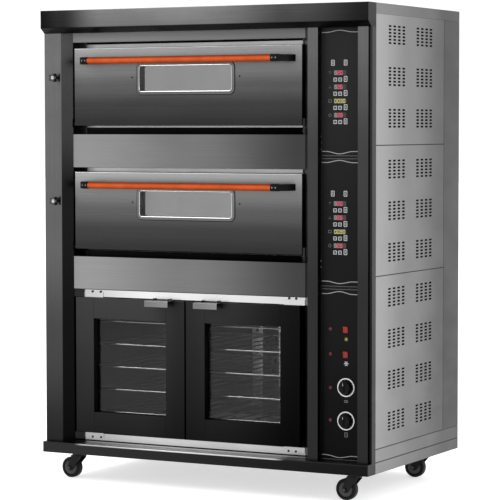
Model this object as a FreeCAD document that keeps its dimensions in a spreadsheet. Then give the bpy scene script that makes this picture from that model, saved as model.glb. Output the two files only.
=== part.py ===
"""Two-deck bakery oven over a two-door proofer on casters, as a parametric FreeCAD document.

Millimetres.  The origin is on the floor under the middle of the cabinet, +Z is up, the doors
face -Y and +X is to the right of somebody standing in front of the oven.
"""
import FreeCAD, Part
import math
import os
import re
import Sketcher

SIZES = {
    # cabinet outside
    "cabinet_width": 1290, "cabinet_front": -393, "cabinet_depth": 778, "cabinet_top": 1684,
    "base_underside": 100, "base_height": 38, "floor_rail_top": 183.3, "hood_depth": 62.5,
    "hood_corner": 1622, "hood_bottom": 1603, "hood_lip": 25, "cover_height": 36.3,
    "skin": 1.5, "seam": 1, "fold": 15, "small_gap": 0.5, "fine_gap": 0.1,
    # set-backs behind the hood's face
    "post_set": 25, "panel_set": 50, "door_set": 55, "fascia_set": 60, "mouth_set": 105,
    # posts and the slanted returns beside the recess
    "left_post_width": 66.4, "recess_left": -547, "recess_right": 382, "inner_post_left": 408,
    "inner_post_right": 446, "outer_post_left": 595, "outer_post_right": 633.5,
    "outer_step": 8, "recess_reach": 30,
    # fixed front panels
    "head_panel_bottom": 1571, "head_panel_top": 1603, "deck_panel_bottom": 1126,
    "deck_panel_height": 117.5, "foot_panel_bottom": 690.4, "foot_panel_height": 116,
    # side panels and their slots
    "side_depth_end": 638, "side_seam_low": 767.7, "deck_pitch": 440, "slot_length": 22,
    "slot_height": 6.4, "slot_pitch_y": 38, "slot_pitch_z": 11.4, "slot_columns": 4,
    "slot_rows": 6, "slot_group_y": 233, "slot_group_columns": 2, "slot_group_z": 141.2,
    "slot_first_y": 100, "slot_margin_top": 58.6, "slot_margin_deck": 44, "slot_margin_low": 52.2,
    "back_slot_x": 350, "back_slot_z": 120, "back_slot_length": 90, "back_slot_span": 500,
    "back_slot_columns": 5, "back_slot_rows": 8, "back_slot_groups": 3,
    # baking chambers
    "oven_middle": -83.25, "lower_door_bottom": 834, "door_width": 911.5, "door_height": 276,
    "door_depth": 45, "door_skin": 1.5, "mouth_width": 866, "mouth_below": 6, "mouth_height": 296,
    "chamber_width": 830, "chamber_height": 240, "chamber_depth": 622, "chamber_lift": 18,
    "rib_width": 12, "rib_height": 22, "rib_set": 10, "stone_set": 8,
    "stone_width": 405, "stone_depth": 606, "stone_thickness": 18,
    "wool_thickness": 42, "wool_back": 43,
    "hairpins": 4, "rod_radius": 4, "bend_radius": 50, "rod_reach": 520, "hairpin_pitch": 207,
    "hairpin_first": 104.5, "rod_drop": 22, "rod_lift": 11, "rod_foot_radius": 9, "rod_foot": 2,
    # baking chamber doors
    "hinge_set": 7, "hinge_lift": 6, "hinge_pin_radius": 4, "running_gap": 0.08,
    "hinge_pin_reach": 6.5, "hinge_plate_left": 5, "hinge_plate_right": 7.5,
    "hinge_plate_set": 2, "hinge_plate_drop": 5, "hinge_plate_height": 30,
    "window_width": 391, "window_height": 112, "window_lift": 109.4, "window_border": 12,
    "window_radius": 20, "window_proud": 3, "window_lap": 8, "pane_thickness": 4,
    "front_pane_set": 16, "rear_pane_set": 38.5, "lining_thickness": 2,
    "handle_radius": 12.25, "handle_wall": 1.5, "handle_length": 730, "handle_set": 50,
    "handle_lift": 230, "bracket_length": 28, "bracket_height": 23, "bracket_foot": 16,
    "bracket_tip": 35, "bracket_flare": 22, "bracket_sole": 23, "bracket_inset": 4,
    "bracket_web": 5, "bracket_rise": 2, "bracket_round": 6, "cap_wall": 0.8, "cap_short": 2,
    # proofer
    "proofer_left": -517, "proofer_right": 352, "proofer_floor": 171, "proofer_roof": 674,
    "proofer_depth": 640, "header_bottom": 663.5, "header_top": 688, "sill_bottom": 147,
    "sill_top": 171, "sill_strip_height": 4, "rail_set": 62, "leaf_left": 120,
    "leaf_right": 80, "leaf_height": 18, "leaf_thickness": 2, "leaf_depth": 26, "leaf_inset": 2,
    "proof_door_bottom": 174, "proof_door_height": 486, "proof_door_width": 447.5,
    "proof_door_left": -537, "proof_door_gap": 6, "proof_door_depth": 35, "stile_width": 75,
    "rail_width": 74, "joint_line": 0.8, "proof_glass": 5, "proof_glass_set": 22,
    "proof_pivot_in": 12, "proof_pivot_radius": 4, "proof_pivot_reach": 10,
    "pivot_spare": 2,
    "pull_width": 94, "pull_height": 21, "pull_set": 40, "pull_thickness": 2, "pull_drop": 0.5,
    "pull_offset": 51,
    # shelves and what is under and behind them
    "shelf_width": 416, "shelf_depth": 570, "shelf_wire": 3, "shelf_cross_wire": 2.4,
    "shelf_cross_wires": 7, "shelf_first": 243, "shelf_pitch": 82,
    "shelf_count": 5, "shelf_front": 130, "bay_gap": 16, "upright_width": 28, "upright_depth": 2,
    "upright_hole": 9, "rear_upright_width": 44, "rear_upright_hole": 12, "rear_upright_set": 56,
    "pan_width": 500, "pan_depth": 240, "pan_height": 40,
    "pan_set": 270, "fan_radius": 85, "fan_width": 26, "fan_height": 420, "fan_shaft_radius": 4,
    "fan_hub_radius": 18, "fan_blades": 8, "fan_shaft_room": 1, "fan_off_wall": 4,
    "blade_short": 2, "motor_radius": 42, "motor_length": 24, "motor_end": 1,
    # steam dampers
    "damper_x": -594, "damper_height": 1005.5, "damper_rod_radius": 4, "damper_knob_radius": 11,
    "damper_lobe_radius": 5, "damper_knob_length": 18, "damper_knob_set": -6, "damper_lobes": 5,
    "damper_rod_root": 4,
    "duct_left": -622, "duct_right": -566, "duct_half_height": 26, "duct_set": 330,
    "port_set": 400, "port_length": 60, "port_height": 36, "blade_length": 70, "blade_height": 44,
    "blade_thickness": 2, "blade_lead": 5,
    # control column
    "column_split_upper": 1167.5, "column_split_lower": 727, "column_bottom": 138.5,
    "display_x": 516, "display_width": 50, "display_height": 17, "display_pitch": 47,
    "display_top": 1451.4, "board_width": 110, "board_height": 240, "board_thickness": 2,
    "board_lift": 40, "displays": 4, "block_border": 1, "board_set": 60, "lamp_bezel": 1,
    "lamp_x": 483.3, "lamp_radius": 5, "lamp_proud": 3, "lamp_length": 20,
    "rocker_x": 539.5, "rocker_upper": 587, "rocker_lower": 502.5, "rocker_width": 17,
    "rocker_height": 21, "rocker_face": 6.6, "rocker_back": 6, "rocker_tilt": 8,
    "rocker_set": 52, "rocker_dish": 1.8, "rocker_shoulder": 1.5, "rocker_gap": 0.8,
    "bezel_width": 21, "bezel_height": 26, "bezel_proud": 1.5, "bezel_lap": 1.2,
    "bezel_cover": 1, "housing_depth": 24, "housing_floor": 6,
    "knob_x": 540.5, "knob_upper": 390, "knob_lower": 276.5, "knob_radius": 19,
    "knob_length": 20, "knob_skirt_radius": 22, "knob_skirt": 4, "knob_gap": 1.5,
    "knob_ridge": 5, "knob_ridge_proud": 4, "ridge_inset": 1, "knob_round": 1.5,
    "shaft_radius": 3, "shaft_length": 22, "regulator_radius": 18, "regulator_depth": 26,
    "lamp_low_upper": 387.3, "lamp_low_lower": 277.2, "gland_x": 560, "gland_height": 240,
    "gland_radius": 14, "gland_length": 22, "gland_bore": 7, "gland_neck_radius": 9.5,
    "gland_lead": 6,
    # casters
    "caster_x": 552, "caster_front": 95, "caster_rear": 672, "plate_x": 74, "plate_y": 60,
    "plate_thickness": 3, "race_radius": 23, "race_height": 12, "kingpin_radius": 6,
    "kingpin_length": 10, "kingpin_root": 2, "fork_top": 4, "fork_radius": 24,
    "fork_inside": 36, "fork_arm": 3, "fork_gap": 1, "fork_inset": 4, "arm_foot": 9,
    "arm_toe": 7, "wheel_radius": 37.5, "wheel_width": 29, "wheel_trail": 28, "axle_radius": 4,
    "axle_head": 7, "axle_head_length": 3, "wheel_recess": 3, "wheel_rim": 27, "hub_radius": 11,
    "wheel_dish": 2, "tyre_edge": 1, "tyre_drop": 4, "tyre_round": 5,
}

doc = FreeCAD.newDocument("DeckOven")
sheet = doc.addObject("Spreadsheet::Sheet", "Sizes")
for row, (alias, size) in enumerate(SIZES.items(), start=1):
    sheet.set("A%d" % row, alias.replace("_", " "))
    sheet.set("B%d" % row, str(size))
    sheet.setAlias("B%d" % row, alias)
doc.recompute()

NODES = []
V = FreeCAD.Vector
FRONT = "cabinet_front"
LEFT = "-cabinet_width / 2"
DECKS = {"upper": "(lower_door_bottom + deck_pitch)", "lower": "lower_door_bottom"}
MODULES = {"upper": "deck_pitch", "lower": "0"}
NEAR = 1e-6
LEAST_CUT = 1e-3
LONG_EDGE = 1
QUARTER_TURN = 90
HALF_TURN = 180
FULL_TURN = 360


# ---------------------------------------------------------------- helpers

def formula(text):
    """Turn aliases in a formula into references to the sheet's cells."""
    return re.sub(r"[a-z][a-z_]+", lambda found: "Sizes." + found.group(0), text)


def number(text):
    """The value of a formula now."""
    return float(sheet.evalExpression(formula(text)))


def bind(thing, **formulas):
    """Bind properties of an object to formulas of the sheet's cells."""
    for name, text in formulas.items():
        thing.setExpression(name, formula(text))


def put(thing, x="0", y="0", z="0"):
    """Bind the place of an object."""
    for letter, text in (("x", x), ("y", y), ("z", z)):
        if text != "0":
            thing.setExpression("Placement.Base." + letter, formula(text))


def node(thing, name):
    """Name an object as one sub-part of the oven."""
    thing.Label = name
    NODES.append(thing)
    return thing


class Piece:
    """A PartDesign body with short calls for its sketches and features."""

    def __init__(self, name, x="0", y="0", z="0"):
        self.body = doc.addObject("PartDesign::Body", name)
        self.body.Label = name
        put(self.body, x, y, z)
        self.features = 0

    def name(self, kind):
        self.features += 1
        return "%s_%s_%d" % (self.body.Name, kind, self.features)

    def sketch(self, plane, offset="0"):
        """An empty sketch on one of the body's origin planes, or parallel to it."""
        sketch = self.body.newObject("Sketcher::SketchObject", self.name("sketch"))
        support = [flat for flat in self.body.Origin.OriginFeatures if flat.Role == plane + "_Plane"]
        sketch.AttachmentSupport = [(support[0], "")]
        sketch.MapMode = "FlatFace"
        if offset != "0":
            sketch.setExpression("AttachmentOffset.Base.z", formula(offset))
        return sketch

    def add(self, kind, sketch, **formulas):
        feature = self.body.newObject("PartDesign::" + kind, self.name(kind.lower()))
        feature.Profile = sketch
        bind(feature, **formulas)
        sketch.Visibility = False
        return feature

    def pad(self, sketch, length, backwards=False):
        feature = self.add("Pad", sketch, Length=length)
        feature.Reversed = backwards
        return feature

    def pocket(self, sketch, length=None, backwards=False):
        """Cut a sketch into the body, and stop if it took nothing away."""
        doc.recompute()
        before = self.body.Shape.Volume
        feature = self.add("Pocket", sketch)
        if length is None:
            feature.Type = "ThroughAll"
        else:
            bind(feature, Length=length)
        feature.Reversed = backwards
        doc.recompute()
        if self.body.Shape.Volume > before - LEAST_CUT:
            raise RuntimeError(feature.Name + " cuts nothing")
        return feature

    def revolve(self, sketch, axis="H_Axis"):
        feature = self.add("Revolution", sketch)
        feature.ReferenceAxis = (sketch, [axis])
        feature.Angle = FULL_TURN
        return feature

    def dress(self, kind, wanted, **formulas):
        """Chamfer or fillet the edges that the wanted test picks."""
        doc.recompute()
        base = self.body.Tip
        edges = [
            "Edge%d" % (index + 1)
            for index, edge in enumerate(base.Shape.Edges)
            if wanted(edge)
        ]
        feature = self.body.newObject("PartDesign::" + kind, self.name(kind.lower()))
        feature.Base = (base, edges)
        bind(feature, **formulas)
        doc.recompute()
        return feature


def pin_point(sketch, item, end, x, y):
    """Fix one point of a sketch at formulas measured from the sketch's origin."""
    for kind, text, axis in (("DistanceX", x, -2), ("DistanceY", y, -1)):
        if number(text) == 0:
            sketch.addConstraint(Sketcher.Constraint("PointOnObject", item, end, axis))
        else:
            made = sketch.addConstraint(Sketcher.Constraint(kind, -1, 1, item, end, number(text)))
            sketch.setExpression("Constraints[%d]" % made, formula(text))


def outline(sketch, points):
    """A closed outline through points, each fixed by its two formulas."""
    first = sketch.GeometryCount
    places = [V(number(x), number(y), 0) for x, y in points]
    count = len(points)
    for index in range(count):
        line = Part.LineSegment(places[index], places[(index + 1) % count])
        sketch.addGeometry(line, False)
    for index in range(count):
        following = first + (index + 1) % count
        sketch.addConstraint(Sketcher.Constraint("Coincident", first + index, 2, following, 1))
    for index, (x, y) in enumerate(points):
        pin_point(sketch, first + index, 1, x, y)
    return sketch


def rectangle(sketch, x, y, width, height):
    right = "%s + %s" % (x, width)
    top = "%s + %s" % (y, height)
    return outline(sketch, [(x, y), (right, y), (right, top), (x, top)])


def circle(sketch, x, y, radius):
    place = V(number(x), number(y), 0)
    item = sketch.addGeometry(Part.Circle(place, V(0, 0, 1), number(radius)), False)
    made = sketch.addConstraint(Sketcher.Constraint("Radius", item, number(radius)))
    sketch.setExpression("Constraints[%d]" % made, formula(radius))
    pin_point(sketch, item, 3, x, y)
    return sketch


def arcs_and_lines(sketch, centres, radius, sweep):
    """Arcs of one radius about fixed centres, each a sweep further round, joined by lines."""
    bend = number(radius)
    arcs = []
    for index, (x, y) in enumerate(centres):
        start = index * sweep - math.pi / 2
        ring = Part.Circle(V(number(x), number(y), 0), V(0, 0, 1), bend)
        item = sketch.addGeometry(Part.ArcOfCircle(ring, start, start + sweep), False)
        arcs.append(item)
        made = sketch.addConstraint(Sketcher.Constraint("Radius", item, bend))
        sketch.setExpression("Constraints[%d]" % made, formula(radius))
        pin_point(sketch, item, 3, x, y)
    for index, item in enumerate(arcs):
        following = arcs[(index + 1) % len(arcs)]
        ends = Part.LineSegment(sketch.getPoint(item, 2), sketch.getPoint(following, 1))
        line = sketch.addGeometry(ends, False)
        sketch.addConstraint(Sketcher.Constraint("Tangent", item, 2, line, 1))
        sketch.addConstraint(Sketcher.Constraint("Tangent", line, 2, following, 1))
    return sketch


def rounded_rectangle(sketch, x, y, width, height, radius):
    """A rectangle whose corners are quarter arcs."""
    left = "%s + %s" % (x, radius)
    right = "%s + %s - (%s)" % (x, width, radius)
    low = "%s + %s" % (y, radius)
    high = "%s + %s - (%s)" % (y, height, radius)
    centres = [(right, low), (right, high), (left, high), (left, low)]
    return arcs_and_lines(sketch, centres, radius, math.pi / 2)


def slot(sketch, x, y, length, height):
    """A lying slot with half-round ends, from its lower left corner."""
    radius = "%s / 2" % height
    middle = "%s + %s" % (y, radius)
    centres = [("%s + %s - %s" % (x, length, radius), middle), ("%s + %s" % (x, radius), middle)]
    return arcs_and_lines(sketch, centres, radius, math.pi)


def box(name, size, x="0", y="0", z="0"):
    """A Part::Box with all its sizes bound."""
    made = doc.addObject("Part::Box", name)
    made.Label = name
    bind(made, Length=size[0], Width=size[1], Height=size[2])
    put(made, x, y, z)
    return made


def rod(name, radius, length, x="0", y="0", z="0", along="Z"):
    """A Part::Cylinder that points along one of the axes."""
    turns = {"Z": (V(0, 0, 1), 0), "Y": (V(1, 0, 0), -QUARTER_TURN), "X": (V(0, 1, 0), QUARTER_TURN)}
    made = doc.addObject("Part::Cylinder", name)
    made.Label = name
    made.Placement.Rotation = FreeCAD.Rotation(*turns[along])
    bind(made, Radius=radius, Height=length)
    put(made, x, y, z)
    return made


def join(name, pieces):
    """One solid from several."""
    made = doc.addObject("Part::MultiFuse", name)
    made.Label = name
    made.Shapes = pieces
    return made


def cut(name, base, tool):
    made = doc.addObject("Part::Cut", name)
    made.Label = name
    made.Base = base
    made.Tool = tool
    return made


def group(name, pieces):
    """Several separate solids that share one node."""
    made = doc.addObject("Part::Compound", name)
    made.Links = pieces
    return node(made, name)


def mirrored(name, source, across):
    """A mirror image across a vertical plane of constant X."""
    made = doc.addObject("Part::Mirroring", name)
    made.Label = name
    made.Source = source
    made.Normal = V(1, 0, 0)
    made.setExpression("Base.x", formula(across))
    return made


def on_outer_face(depth):
    """A test for the straight edges that lie on the face of a panel at a depth."""
    def test(edge):
        span = edge.BoundBox
        return abs(span.YMin - depth) < NEAR and abs(span.YMax - depth) < NEAR
    return test


# ---------------------------------------------------------------- cabinet

def make_canopy():
    """The folded black hood over the doors, open at its back."""
    piece = Piece("canopy", LEFT, FRONT, "hood_bottom")
    high = "cabinet_top - hood_bottom"
    corner = "hood_corner - hood_bottom"
    piece.pad(outline(piece.sketch("YZ"), [
        ("0", corner), ("hood_lip", "0"), ("hood_depth", "0"), ("hood_depth", high), ("0", high),
    ]), "cabinet_width")
    inside = outline(piece.sketch("YZ", "skin"), [
        ("skin", corner + " + skin / 2"), ("hood_lip + skin / 2", "skin"), ("hood_depth", "skin"),
        ("hood_depth", high + " - skin"), ("skin", high + " - skin"),
    ])
    piece.pocket(inside, "cabinet_width - 2 * skin", backwards=True)
    piece.dress("Fillet", lambda edge: abs(edge.BoundBox.ZMin - number(high)) < NEAR
                and edge.BoundBox.YMax < NEAR, Radius="skin")
    node(piece.body, "canopy")


def make_top_cover():
    """The plain lid behind the hood, folded down on all four sides."""
    depth = "cabinet_depth - hood_depth"
    piece = Piece("top_cover", LEFT, "cabinet_front + hood_depth", "cabinet_top - cover_height")
    piece.pad(rectangle(piece.sketch("XY"), "0", "0", "cabinet_width", depth), "cover_height")
    inside = rectangle(piece.sketch("XY"), "skin", "skin", "cabinet_width - 2 * skin",
                       depth + " - 2 * skin")
    piece.pocket(inside, "cover_height - skin", backwards=True)
    node(piece.body, "top_cover")


def make_base():
    """The black plinth in front, and behind it the floor pan with a rail folded round it."""
    plinth = Piece("base_plinth", LEFT, FRONT, "base_underside")
    plinth.pad(rectangle(plinth.sketch("XY"), "0", "0", "cabinet_width", "hood_depth"),
               "base_height")
    plinth.pocket(rectangle(plinth.sketch("XY", "skin"), "skin", "skin",
                            "cabinet_width - 2 * skin", "hood_depth"),
                  "base_height - 2 * skin", backwards=True)
    plinth.dress("Fillet", on_outer_face(0), Radius="skin")
    node(plinth.body, "base_plinth")

    depth = "cabinet_depth - hood_depth"
    pan = Piece("floor_pan", LEFT, "cabinet_front + hood_depth", "base_underside")
    pan.pad(rectangle(pan.sketch("XY"), "0", "0", "cabinet_width", depth), "base_height")
    pan.pocket(rectangle(pan.sketch("XY", "skin"), "skin", "skin", "cabinet_width - 2 * skin",
                         depth + " - 2 * skin"), "base_height", backwards=True)
    rail = Piece("floor_rail", LEFT, "cabinet_front + hood_depth",
                 "base_underside + base_height + seam")
    high = "floor_rail_top - base_underside - base_height - seam"
    rail.pad(rectangle(rail.sketch("XY"), "0", "0", "cabinet_width", depth), high)
    rail.pocket(rectangle(rail.sketch("XY"), "fold", "0", "cabinet_width - 2 * fold",
                          depth + " - fold"), backwards=True)
    group("base_frame", [pan.body, rail.body])


def make_posts():
    """Three folded uprights; the two beside the recess have slanted returns."""
    bottom = "base_underside + base_height"
    high = "hood_bottom - base_underside - base_height"
    y = "cabinet_front + post_set"
    fascia = "fascia_set - post_set"
    back = "mouth_set - post_set"

    left = Piece("left_post", LEFT, y, bottom)
    recess = "recess_left + cabinet_width / 2"
    left.pad(outline(left.sketch("XY"), [
        ("0", "hood_depth - post_set"), ("0", "0"), ("left_post_width", "0"), (recess, fascia),
        (recess, back), (recess + " + recess_reach", back),
        (recess + " + recess_reach", back + " + skin"), (recess + " - skin", back + " + skin"),
        (recess + " - skin", fascia + " + skin / 2"), ("left_post_width - skin / 2", "skin"),
        ("skin", "skin"), ("skin", "hood_depth - post_set"),
    ]), high)
    holes = left.sketch("XZ")
    for lift in MODULES.values():
        circle(holes, "damper_x + cabinet_width / 2", "damper_height + %s - (%s)" % (lift, bottom),
               "damper_rod_radius + small_gap")
    left.pocket(holes, "skin")
    node(left.body, "left_post")

    inner = Piece("inner_post", "recess_right", y, bottom)
    slant = "inner_post_left - recess_right"
    wide = "inner_post_right - recess_right"
    inner.pad(outline(inner.sketch("XY"), [
        ("-recess_reach", back), ("0", back), ("0", fascia), (slant, "0"), (wide, "0"),
        (wide, "panel_set - post_set"), (wide + " - skin", "panel_set - post_set"),
        (wide + " - skin", "skin"), (slant + " + skin / 2", "skin"),
        ("skin", fascia + " + skin / 2"), ("skin", back + " + skin"),
        ("-recess_reach", back + " + skin"),
    ]), high)
    node(inner.body, "inner_post")

    outer = Piece("outer_post", "outer_post_left", y, bottom)
    face = "outer_post_right - outer_post_left"
    side = "cabinet_width / 2 - outer_post_left"
    outer.pad(outline(outer.sketch("XY"), [
        ("0", "panel_set - post_set"), ("0", "0"), (face, "0"), (face, "outer_step"),
        (side, "outer_step"), (side, "hood_depth - post_set"),
        (side + " - skin", "hood_depth - post_set"), (side + " - skin", "outer_step + skin"),
        (face + " - skin", "outer_step + skin"), (face + " - skin", "skin"), ("skin", "skin"),
        ("skin", "panel_set - post_set"),
    ]), high)
    node(outer.body, "outer_post")


def make_front_panels():
    """The three panels over, between and under the baking chambers.

    Each is folded back to the plane of the mouths, where a lip shuts the gap beside the mouth.
    """
    head_high = "(head_panel_top - head_panel_bottom)"
    deck_mouth = "lower_door_bottom + deck_pitch - mouth_below"
    rows = {
        "head_panel": ("head_panel_bottom", head_high,
                       deck_mouth + " + mouth_height + small_gap - head_panel_bottom", "skin"),
        "deck_panel": ("deck_panel_bottom", "deck_panel_height", "deck_panel_height - skin",
                       deck_mouth + " - small_gap - deck_panel_bottom"),
        "foot_panel": ("foot_panel_bottom", "foot_panel_height", "foot_panel_height - skin",
                       "lower_door_bottom - mouth_below - small_gap - foot_panel_bottom"),
    }
    wide = "recess_right - recess_left - 2 * small_gap"
    deep = "(mouth_set - fascia_set)"
    lip_left = "oven_middle - mouth_width / 2 - recess_left - small_gap"
    pieces = []
    for name, (bottom, high, lip_low, lip_high) in rows.items():
        piece = Piece(name, "recess_left + small_gap", "cabinet_front + fascia_set", bottom)
        piece.pad(rectangle(piece.sketch("XZ"), "0", "0", wide, high), deep, backwards=True)
        piece.pocket(rectangle(piece.sketch("XZ", "-skin"), "skin", "skin", wide + " - 2 * skin",
                               high + " - 2 * skin"), deep)
        lip = rectangle(piece.sketch("XZ", "skin - " + deep), lip_left, lip_low, "mouth_width",
                        "%s - (%s)" % (lip_high, lip_low))
        piece.pad(lip, "skin", backwards=True)
        pieces.append(piece.body)
    group("front_panels", pieces)


def repeat(piece, sketch, feature, steps):
    """Repeat one cut along its sketch's axes. Each step is an axis, a length and a count."""
    pattern = doc.addObject("PartDesign::MultiTransform", piece.name("pattern"))
    moves = []
    for axis, length, count in steps:
        move = doc.addObject("PartDesign::LinearPattern", piece.name("row"))
        move.Direction = (sketch, [axis])
        bind(move, Length=length)
        move.Occurrences = count
        moves.append(move)
    pattern.Transformations = moves
    piece.body.addObject(pattern)
    pattern.Originals = [feature]
    piece.body.Tip = pattern


def slotted_panel(name, x, bottom, high, groups, margin, outwards):
    """A side panel with folded edges and groups of slots four across and six high."""
    wide = "side_depth_end - hood_depth"
    piece = Piece(name, x, "cabinet_front + hood_depth", bottom)
    piece.pad(rectangle(piece.sketch("YZ"), "0", "0", wide, high), "fold", backwards=outwards)
    piece.pocket(rectangle(piece.sketch("YZ", "-skin" if outwards else "skin"), "skin", "skin",
                           wide + " - 2 * skin", high + " - 2 * skin"),
                 "fold", backwards=not outwards)
    first = slot(piece.sketch("YZ"), "slot_first_y", margin, "slot_length", "slot_height")
    hole = piece.pocket(first, "skin", backwards=not outwards)
    steps = (
        ("H_Axis", "(slot_columns - 1) * slot_pitch_y", SIZES["slot_columns"]),
        ("V_Axis", "(slot_rows - 1) * slot_pitch_z", SIZES["slot_rows"]),
        ("H_Axis", "slot_group_y", SIZES["slot_group_columns"]),
        ("V_Axis", "%d * slot_group_z" % (groups - 1), groups),
    )
    repeat(piece, first, hole, steps)
    return piece.body


def make_side_panels():
    """Three slotted panels on each side."""
    low = "side_seam_low - floor_rail_top - seam"
    rows = [
        ("low", "floor_rail_top + seam / 2", low, 4, "slot_margin_low"),
        ("middle", "side_seam_low + seam / 2", "deck_pitch - seam", 3, "slot_margin_deck"),
        ("high", "side_seam_low + deck_pitch + seam / 2", "deck_pitch - seam", 3,
         "slot_margin_top"),
    ]
    for side, x in (("left", LEFT), ("right", "cabinet_width / 2")):
        pieces = [
            slotted_panel("side_%s_%s" % (side, name), x, bottom, high, groups, margin,
                          side == "right")
            for name, bottom, high, groups, margin in rows
        ]
        group("side_panels_" + side, pieces)


def make_back_panel():
    """The rear sheet, wrapped round both corners, with holes for ducts, gland and air."""
    high = "cabinet_top - cover_height - floor_rail_top - seam"
    deep = "cabinet_depth - side_depth_end - seam"
    piece = Piece("back_panel", LEFT, "cabinet_front + side_depth_end + seam",
                  "floor_rail_top + seam / 2")
    piece.pad(outline(piece.sketch("XY"), [
        ("0", "0"), ("skin", "0"), ("skin", deep + " - skin"),
        ("cabinet_width - skin", deep + " - skin"), ("cabinet_width - skin", "0"),
        ("cabinet_width", "0"), ("cabinet_width", deep), ("0", deep),
    ]), high)
    holes = piece.sketch("XZ")
    for lift in MODULES.values():
        middle = "damper_height + %s - floor_rail_top - seam / 2" % lift
        rectangle(holes, "duct_left + cabinet_width / 2 - small_gap",
                  middle + " - duct_half_height - small_gap",
                  "duct_right - duct_left + 2 * small_gap", "2 * duct_half_height + 2 * small_gap")
    circle(holes, "gland_x + cabinet_width / 2", "gland_height - floor_rail_top - seam / 2",
           "gland_neck_radius + small_gap")
    piece.pocket(holes)
    first = slot(piece.sketch("XZ"), "back_slot_x", "back_slot_z", "back_slot_length",
                 "slot_height")
    repeat(piece, first, piece.pocket(first), (
        ("H_Axis", "back_slot_span", SIZES["back_slot_columns"]),
        ("V_Axis", "(back_slot_rows - 1) * 2 * slot_pitch_z", SIZES["back_slot_rows"]),
        ("V_Axis", "(back_slot_groups - 1) * deck_pitch", SIZES["back_slot_groups"]),
    ))
    node(piece.body, "back_panel")


# ---------------------------------------------------------------- baking chambers

def make_chamber(deck, door_bottom):
    """The bright liner of one deck with its flanged mouth, ribs and steam port."""
    wide = "chamber_width + 2 * skin"
    piece = Piece("chamber_" + deck, "oven_middle - chamber_width / 2 - skin",
                  "cabinet_front + mouth_set + skin", door_bottom + " + chamber_lift - skin")
    side = "(mouth_width - chamber_width) / 2 - skin"
    low = "chamber_lift - skin + mouth_below"
    piece.pad(rectangle(piece.sketch("XZ"), "0", "0", wide, "chamber_height + 2 * skin"),
              "chamber_depth + skin", backwards=True)
    piece.pad(rectangle(piece.sketch("XZ"), "-(%s)" % side, "-(%s)" % low, "mouth_width",
                        "mouth_height"), "skin")
    piece.pocket(rectangle(piece.sketch("XZ", "skin"), "skin", "skin", "chamber_width",
                           "chamber_height"), "chamber_depth + skin")
    ribs = piece.sketch("XZ", "-rib_set")
    for start in ("skin", "skin + (chamber_width - rib_width) / 2",
                  "skin + chamber_width - rib_width"):
        rectangle(ribs, start, "skin / 2", "rib_width", "rib_height + skin / 2")
    piece.pad(ribs, "chamber_depth - rib_set", backwards=True)
    port = rectangle(piece.sketch("YZ"), "port_set - mouth_set - skin",
                     "damper_height - port_height / 2 - lower_door_bottom - chamber_lift + skin",
                     "port_length", "port_height")
    piece.pocket(port, "skin", backwards=True)
    node(piece.body, "chamber_" + deck)


def make_insulation():
    """Mineral wool round each baking chamber, with a hole for the steam port."""
    pieces = []
    for deck, door_bottom in DECKS.items():
        wide = "chamber_width + 2 * skin + 2 * wool_thickness"
        high = "chamber_height + 2 * skin + 2 * wool_thickness"
        piece = Piece("wool_" + deck, "oven_middle - (%s) / 2" % wide,
                      "cabinet_front + mouth_set + 2 * skin",
                      door_bottom + " + chamber_lift - skin - wool_thickness")
        piece.pad(rectangle(piece.sketch("XZ"), "0", "0", wide, high),
                  "chamber_depth + wool_back", backwards=True)
        piece.pocket(rectangle(piece.sketch("XZ"), "wool_thickness", "wool_thickness",
                               "chamber_width + 2 * skin", "chamber_height + 2 * skin"),
                     "chamber_depth")
        port = rectangle(piece.sketch("YZ"), "port_set - mouth_set - 2 * skin",
                         "damper_height - port_height / 2 - lower_door_bottom - chamber_lift"
                         " + skin + wool_thickness - skin", "port_length", "port_height + 2 * skin")
        piece.pocket(port, "wool_thickness", backwards=True)
        pieces.append(piece.body)
    group("insulation", pieces)


def make_hearth_stones():
    """Two stone slabs side by side in each deck."""
    pieces = []
    for deck, door_bottom in DECKS.items():
        for side, shift in (("left", "-stone_width - small_gap"), ("right", "small_gap")):
            pieces.append(box(
                "stone_%s_%s" % (deck, side), ("stone_width", "stone_depth", "stone_thickness"),
                "oven_middle + " + shift, "cabinet_front + mouth_set + stone_set",
                door_bottom + " + chamber_lift + rib_height + fine_gap"))
    group("hearth_stones", pieces)


def hairpin(name, x, y, z, reach, radius):
    """One heating rod: two straight legs, a half-round bend and two mounting discs."""
    legs = []
    for side, sign in (("a", "-"), ("b", "+")):
        across = "%s %s %s" % (x, sign, radius)
        legs.append(rod(name + "_leg_" + side, "rod_radius", reach, across,
                        "%s - (%s)" % (y, reach), z, along="Y"))
        legs.append(rod(name + "_foot_" + side, "rod_foot_radius", "rod_foot", across,
                        y + " - rod_foot", z, along="Y"))
    bend = doc.addObject("Part::Torus", name + "_bend")
    bend.Angle3 = HALF_TURN
    bend.Placement.Rotation = FreeCAD.Rotation(V(0, 0, 1), HALF_TURN)
    bind(bend, Radius1=radius, Radius2="rod_radius")
    put(bend, x, "%s - (%s)" % (y, reach), z)
    return join(name, legs + [bend])


def make_heating_elements():
    """Hairpin rods over and under each baking space, and one in the proofer's water pan."""
    pieces = []
    back = "cabinet_front + mouth_set + chamber_depth"
    start = "oven_middle - chamber_width / 2 + hairpin_first"
    for deck, door_bottom in DECKS.items():
        floor = door_bottom + " + chamber_lift"
        for row, height in (("top", floor + " + chamber_height - rod_drop"),
                            ("low", floor + " + rod_lift")):
            for index in range(SIZES["hairpins"]):
                name = "rod_%s_%s_%d" % (deck, row, index + 1)
                across = "%s + %d * hairpin_pitch" % (start, index)
                pieces.append(hairpin(name, across, back, height, "rod_reach", "bend_radius"))
    pieces.append(hairpin(
        "rod_pan", "oven_middle", "cabinet_front + pan_set + pan_depth - skin",
        "proofer_floor + 2 * skin + pan_height / 2", "pan_depth - 3 * bend_radius / 2",
        "bend_radius"))
    group("heating_elements", pieces)


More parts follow.
